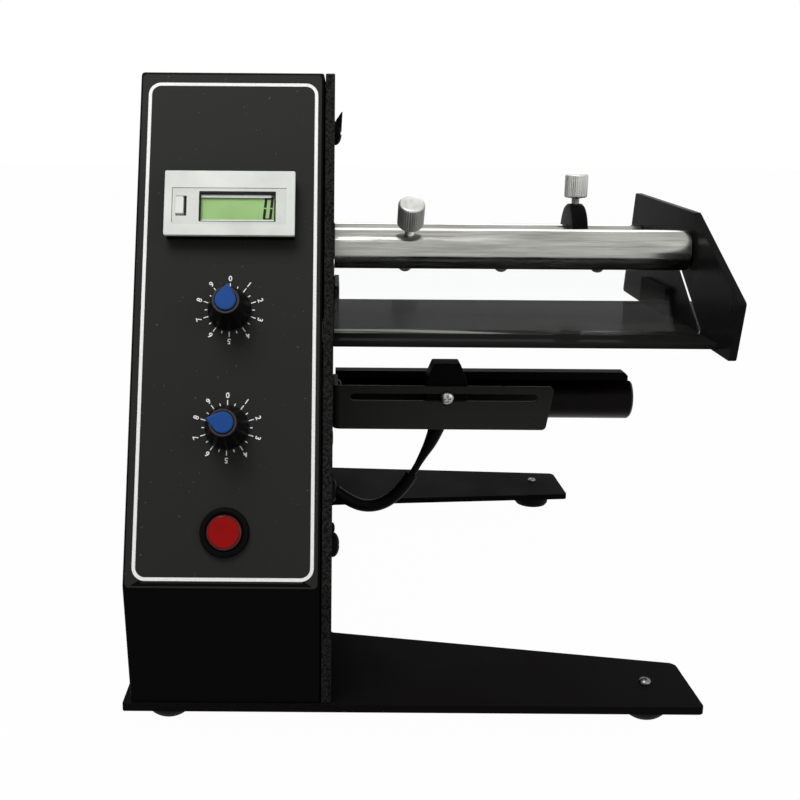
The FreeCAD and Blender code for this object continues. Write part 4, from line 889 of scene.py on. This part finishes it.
def digit_form(text, size):
    """One printed figure as a thin solid, centred on the origin."""
    curve = bpy.data.curves.new("figure", "FONT")
    curve.body = text
    curve.size = size
    curve.align_x = "CENTER"
    curve.align_y = "CENTER"
    curve.resolution_u = 4
    curve.extrude = (INK_HIGH - INK_LOW) / 2
    curve.offset = 0.05
    holder = bpy.data.objects.new("figure", curve)
    bpy.context.scene.collection.objects.link(holder)
    bpy.context.view_layer.update()
    mesh = bpy.data.meshes.new_from_object(holder.evaluated_get(bpy.context.evaluated_depsgraph_get()))
    form = bmesh.new()
    form.from_mesh(mesh)
    bpy.data.meshes.remove(mesh)
    bpy.data.objects.remove(holder)
    bpy.data.curves.remove(curve)
    us = [v.co.x for v in form.verts]
    vs = [v.co.y for v in form.verts]
    middle = Vector(((min(us) + max(us)) / 2, (min(vs) + max(vs)) / 2, -(INK_LOW + INK_HIGH) / 2))
    bmesh.ops.translate(form, vec=-middle, verts=form.verts)
    return form


def dial_print(name, up):
    """Figures 0 to 9 and their ticks, clockwise round a dial."""
    form = bmesh.new()
    for step in range(20):
        turn = Matrix.Rotation(radians(-18 * step), 4, "Z")
        main = step % 2 == 0
        start, end, half = (8.0, 9.8, 0.17) if main else (8.05, 8.95, 0.18)
        merge(form, plate(-half, start, half, end, INK_LOW, INK_HIGH), turn)
        if main:
            place = turn @ Matrix.Translation((0, 11.5, 0))
            merge(form, digit_form(str(step // 2), 2.7), place)
    bmesh.ops.transform(form, matrix=panel_matrix(up, 0, DIAL_SHIFT), verts=form.verts)
    new_piece(name, from_bmesh(name, form), "white_ink", "frame")


border()
dial_print("length_dial_print", LENGTH_DIAL_UP)
dial_print("speed_dial_print", SPEED_DIAL_UP)

# Counter face

RIGHT_EDGE = Vector((24, 0, 0))  # the face is drawn 48 wide, then narrowed towards its right edge
NARROW = (Matrix.Translation(RIGHT_EDGE) @ Matrix.Diagonal((0.975, 1, 1, 1))
          @ Matrix.Translation(-RIGHT_EDGE))
# Heights over the panel of the counter's face, its window and the display behind it.
FACE = FILM + 6.5
WINDOW = FILM + 5.4
DISPLAY = FILM + 4.6


def counter_body():
    """Silver front frame with openings for display and reset button, on a slimmer black rim."""
    outline = rounded(-24, -12, 24, 12, 0.6, 6)
    low = FACE - 1.5
    display = [(-10.7, -6.8), (16.5, -6.8), (16.5, 4.0), (-10.7, 4.0)]
    reset = [(-19.7, -4.9), (-15.7, -4.9), (-15.7, 2.5), (-19.7, 2.5)]
    front = bmesh.new()
    levels = [(low, 0.0), (FACE - 0.35, 0.0), (FACE - 0.1, 0.1), (FACE, 0.35)]
    rings = [[front.verts.new((u * (1 - cut / 24), v * (1 - cut / 12), h)) for u, v in outline]
             for h, cut in levels]
    for first, second in zip(rings, rings[1:]):
        for k in range(len(outline)):
            j = (k + 1) % len(outline)
            front.faces.new((first[k], first[j], second[j], second[k]))
    holes = []
    for corners in (display, reset):
        pair = [[front.verts.new((u, v, h)) for u, v in corners] for h in (low, FACE)]
        for k in range(4):
            j = (k + 1) % 4
            front.faces.new((pair[0][k], pair[0][j], pair[1][j], pair[1][k]))
        holes.append(pair)
    for level, ring in ((0, rings[0]), (1, rings[-1])):
        edges = []
        for loop in [ring] + [pair[level] for pair in holes]:
            for k in range(len(loop)):
                pair_of = (loop[k], loop[(k + 1) % len(loop)])
                edges.append(front.edges.get(pair_of) or front.edges.new(pair_of))
        bmesh.ops.triangle_fill(front, use_beauty=True, use_dissolve=False, edges=edges)
    place = panel_matrix(COUNTER_UP) @ NARROW
    finish("counter_front_frame", front, place, "silver", "frame", "counter_bezel", 30)
    rim = band(rounded(-23.7, -11.7, 23.7, 11.7, 0.5, 6), rounded(-22.5, -10.5, 22.5, 10.5, 0.4, 6),
               FILM, low)
    bmesh.ops.transform(rim, matrix=place, verts=rim.verts)
    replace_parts(new_piece("counter_black_rim", from_bmesh("counter_black_rim", rim), "black", "frame"),
                "counter_bezel")


def on_counter(name, form, key, matrix=Matrix.Identity(4)):
    """Place a form on the counter's face."""
    bmesh.ops.transform(form, matrix=panel_matrix(COUNTER_UP) @ NARROW @ matrix, verts=form.verts)
    new_piece(name, from_bmesh(name, form), key, "frame")


def reset_slider():
    """The small raised reset button, with black plates in the gap at its right, top and bottom as painted
    shade.
    """
    form = prism(rounded(-19.66, -4.4, -16.6, 2.2, 0.3, 3), FACE - 1.3, FACE + 0.35)
    top = [v for v in form.verts if v.co.z > FACE]
    for vert in top:
        vert.co.x = -19.4 + (vert.co.x + 19.4) * 0.9
        vert.co.y = 1.6 + (vert.co.y - 1.6) * 0.94
    finish("reset_slider", form, panel_matrix(COUNTER_UP) @ NARROW, "silver", "reset_button",
           "counter_reset_button", 30)
    # black plates in the gap beside the button: painted shade at its right side, top and bottom
    shade = bmesh.new()
    merge(shade, plate(-16.7, -4.85, -15.75, 2.4, FACE - 2.6, FACE - 0.7))
    merge(shade, plate(-19.65, 2.2, -15.75, 2.45, FACE - 2.6, FACE - 0.3))
    merge(shade, plate(-19.65, -4.85, -15.75, -4.6, FACE - 2.6, FACE - 0.7))
    on_counter("reset_gap_painted_shade", shade, "black_ink")


def counter_details():
    """Sunken grained field with black lines along its top and left edges as painted shadow, a dark display
    well that is partly the display's mask and partly painted shade, light strips and one figure.
    """
    field = bmesh.new()
    for left, low, right, high in (
            (-21, -7.9, -19.75, 5.4), (-19.75, 2.55, -15.65, 5.4), (-19.75, -7.9, -15.65, -4.95),
            (-15.65, -7.9, -11.3, 5.4), (-11.3, 4.2, 17.1, 5.4), (-11.3, -7.9, 17.1, -7.1),
            (17.1, -7.9, 20.9, 5.4)):
        merge(field, plate(left, low, right, high, FACE - 0.05, FACE + 0.012))
    on_counter("counter_face_field", field, "field")

    # black lines along the field's left and top edges: painted shadow of the recess's rim
    lines = bmesh.new()
    merge(lines, plate(-21.15, -7.4, -20.95, 5.5, FACE - 0.05, FACE + 0.02))
    merge(lines, plate(-21.15, 5.35, 20.9, 5.55, FACE - 0.05, FACE + 0.02))
    on_counter("counter_field_painted_shadow", lines, "black_ink")

    # the display well is partly the display's black mask and partly painted shade, wider at its top and left
    well = band(rounded(-11.2, -7.0, 16.95, 4.25, 0.3, 3), rounded(-10.55, -6.75, 16.45, 3.45, 0.2, 3),
                WINDOW - 0.05, FACE + 0.015)
    on_counter("counter_display_mask_and_shade", well, "black_ink")

    strips = bmesh.new()
    merge(strips, plate(-10.5, 2.25, 15.2, 3.25, WINDOW, WINDOW + 0.05))
    merge(strips, plate(-10.6, -6.75, 16.4, -6.0, WINDOW, WINDOW + 0.05))
    on_counter("counter_display_strips", strips, "white_ink")

    digit = bmesh.new()
    slant = Matrix(((1, 0.09, 0, 0), (0, 1, 0, 0), (0, 0, 1, 0), (0, 0, 0, 1)))
    tall, wide, bold, stroke, gap = 8.3, 3.3, 1.0, 0.85, 0.22
    half = tall / 2
    bars = [(-wide / 2, gap, -wide / 2 + bold, half - gap), (-wide / 2, -half + gap, -wide / 2 + bold, -gap),
            (wide / 2 - bold, gap, wide / 2, half - gap), (wide / 2 - bold, -half + gap, wide / 2, -gap),
            (-wide / 2 + gap, half - stroke, wide / 2 - gap, half),
            (-wide / 2 + gap, -half, wide / 2 - gap, -half + stroke * 0.5)]
    for left, low, right, high in bars:
        merge(digit, plate(left, low, right, high, DISPLAY - 0.02, DISPLAY + 0.04))
    on_counter("counter_figure", digit, "black_ink", Matrix.Translation((14.1, -1.4, 0)) @ slant)


counter_body()
counter_details()
reset_slider()

# Sensor cable

ROUTE = [at(1.4, 98, 60.2), at(8.0, 97.8, 55.4), at(15.6, 97, 53.4), at(23.6, 96.5, 55.6),
         at(30.3, 95.9, 62.1), at(34.8, 95, 69.6), at(39.0, 93.6, 78.4), at(42.6, 92, 86.0),
         at(44.8, 92, 92.9)]
JOINT = ROUTE[5]  # where the jacket ends and the thin lead goes on
JACKET_RADIUS = 0.0027
LEAD_RADIUS = 0.0015


def line_points(route):
    """Points along the smooth line of a route."""
    curve = bpy.data.curves.new("route", "CURVE")
    curve.dimensions = "3D"
    curve.resolution_u = 16
    spline = curve.splines.new("NURBS")
    spline.points.add(len(route) - 1)
    for point, place in zip(spline.points, route):
        point.co = (*place, 1)
    spline.order_u = 3
    spline.use_endpoint_u = True
    holder = bpy.data.objects.new("route", curve)
    bpy.context.scene.collection.objects.link(holder)
    bpy.context.view_layer.update()
    mesh = bpy.data.meshes.new_from_object(holder.evaluated_get(bpy.context.evaluated_depsgraph_get()))
    points = [v.co.copy() for v in mesh.vertices]
    bpy.data.meshes.remove(mesh)
    bpy.data.objects.remove(holder)
    bpy.data.curves.remove(curve)
    return points


def tube(points, radii, sides=20):
    """A round tube along points, one radius at each, closed at both ends."""
    form = bmesh.new()
    rings = []
    side = Vector((0, 1, 0))
    for i, point in enumerate(points):
        way = (points[min(i + 1, len(points) - 1)] - points[max(i - 1, 0)]).normalized()
        side = (side - way * side.dot(way)).normalized()
        other = way.cross(side)
        rings.append([form.verts.new(point + (side * cos(a) + other * sin(a)) * radii[i])
                      for a in (2 * pi * k / sides for k in range(sides))])
    for first, second in zip(rings, rings[1:]):
        for k in range(sides):
            j = (k + 1) % sides
            form.faces.new((first[k], first[j], second[j], second[k]))
    form.faces.new(rings[0])
    form.faces.new(rings[-1])
    return form


def sensor_cable():
    """Jacketed cable, then the lead that widens into its strain relief."""
    points = line_points(ROUTE)
    split = min(range(len(points)), key=lambda i: (points[i] - JOINT).length)
    jacket = points[:split + 1]
    lead = points[split - 2:]
    mesh = from_bmesh("sensor_cable_jacket", tube(jacket, [JACKET_RADIUS] * len(jacket)))
    smooth(mesh, 60)
    cable = new_piece("sensor_cable_jacket", mesh, "jacket", None)
    count = len(lead)
    radii = []
    for i in range(count):
        share = i / (count - 1)
        radii.append(LEAD_RADIUS + 0.002 * max(0.0, (share - 0.25) / 0.75) ** 1.2)
    mesh = from_bmesh("sensor_strain_relief", tube(lead, radii))
    smooth(mesh, 60)
    relief = new_piece("sensor_strain_relief", mesh, "jacket", None)
    for piece in (cable, relief):
        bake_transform(piece)
    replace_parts(cable, "sensor_cable")
    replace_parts(relief, "sensor_lead")


sensor_cable()

# Floor


def floor():
    """White where it is seen, directly or in a reflection; a plain pale floor for all other light."""
    size = 6.0
    form = bmesh.new()
    corners = ((-1, -1), (1, -1), (1, 1), (-1, 1))
    form.faces.new([form.verts.new((x * size, y * size, -0.0002)) for x, y in corners])
    item = principled("pale_floor", (0.42, 0.42, 0.42), 0.9)
    tree = item.node_tree
    shader = tree.nodes["Principled BSDF"]
    out = tree.nodes["Material Output"]
    glow = node(item, "ShaderNodeEmission", Color=(1, 1, 1, 1), Strength=1.0)
    path = node(item, "ShaderNodeLightPath")
    part = node(item, "ShaderNodeMath")
    part.operation = "MULTIPLY"
    part.inputs[1].default_value = 0.985  # the rest is the floor's own shade, for a trace of shadow
    mix = node(item, "ShaderNodeMixShader")
    seen = path.outputs["Is Camera Ray"]
    for label in ("Is Glossy Ray", "Is Transmission Ray"):
        either = node(item, "ShaderNodeMath")
        either.operation = "MAXIMUM"
        tree.links.new(seen, either.inputs[0])
        tree.links.new(path.outputs[label], either.inputs[1])
        seen = either.outputs[0]
    tree.links.new(seen, part.inputs[0])
    tree.links.new(part.outputs[0], mix.inputs["Fac"])
    tree.links.new(shader.outputs[0], mix.inputs[1])
    tree.links.new(glow.outputs[0], mix.inputs[2])
    tree.links.new(mix.outputs[0], out.inputs["Surface"])
    mesh = from_bmesh("floor", form)
    MATERIALS["floor"] = item
    new_piece("floor", mesh, "floor", None)


floor()

bpy.context.view_layer.update()
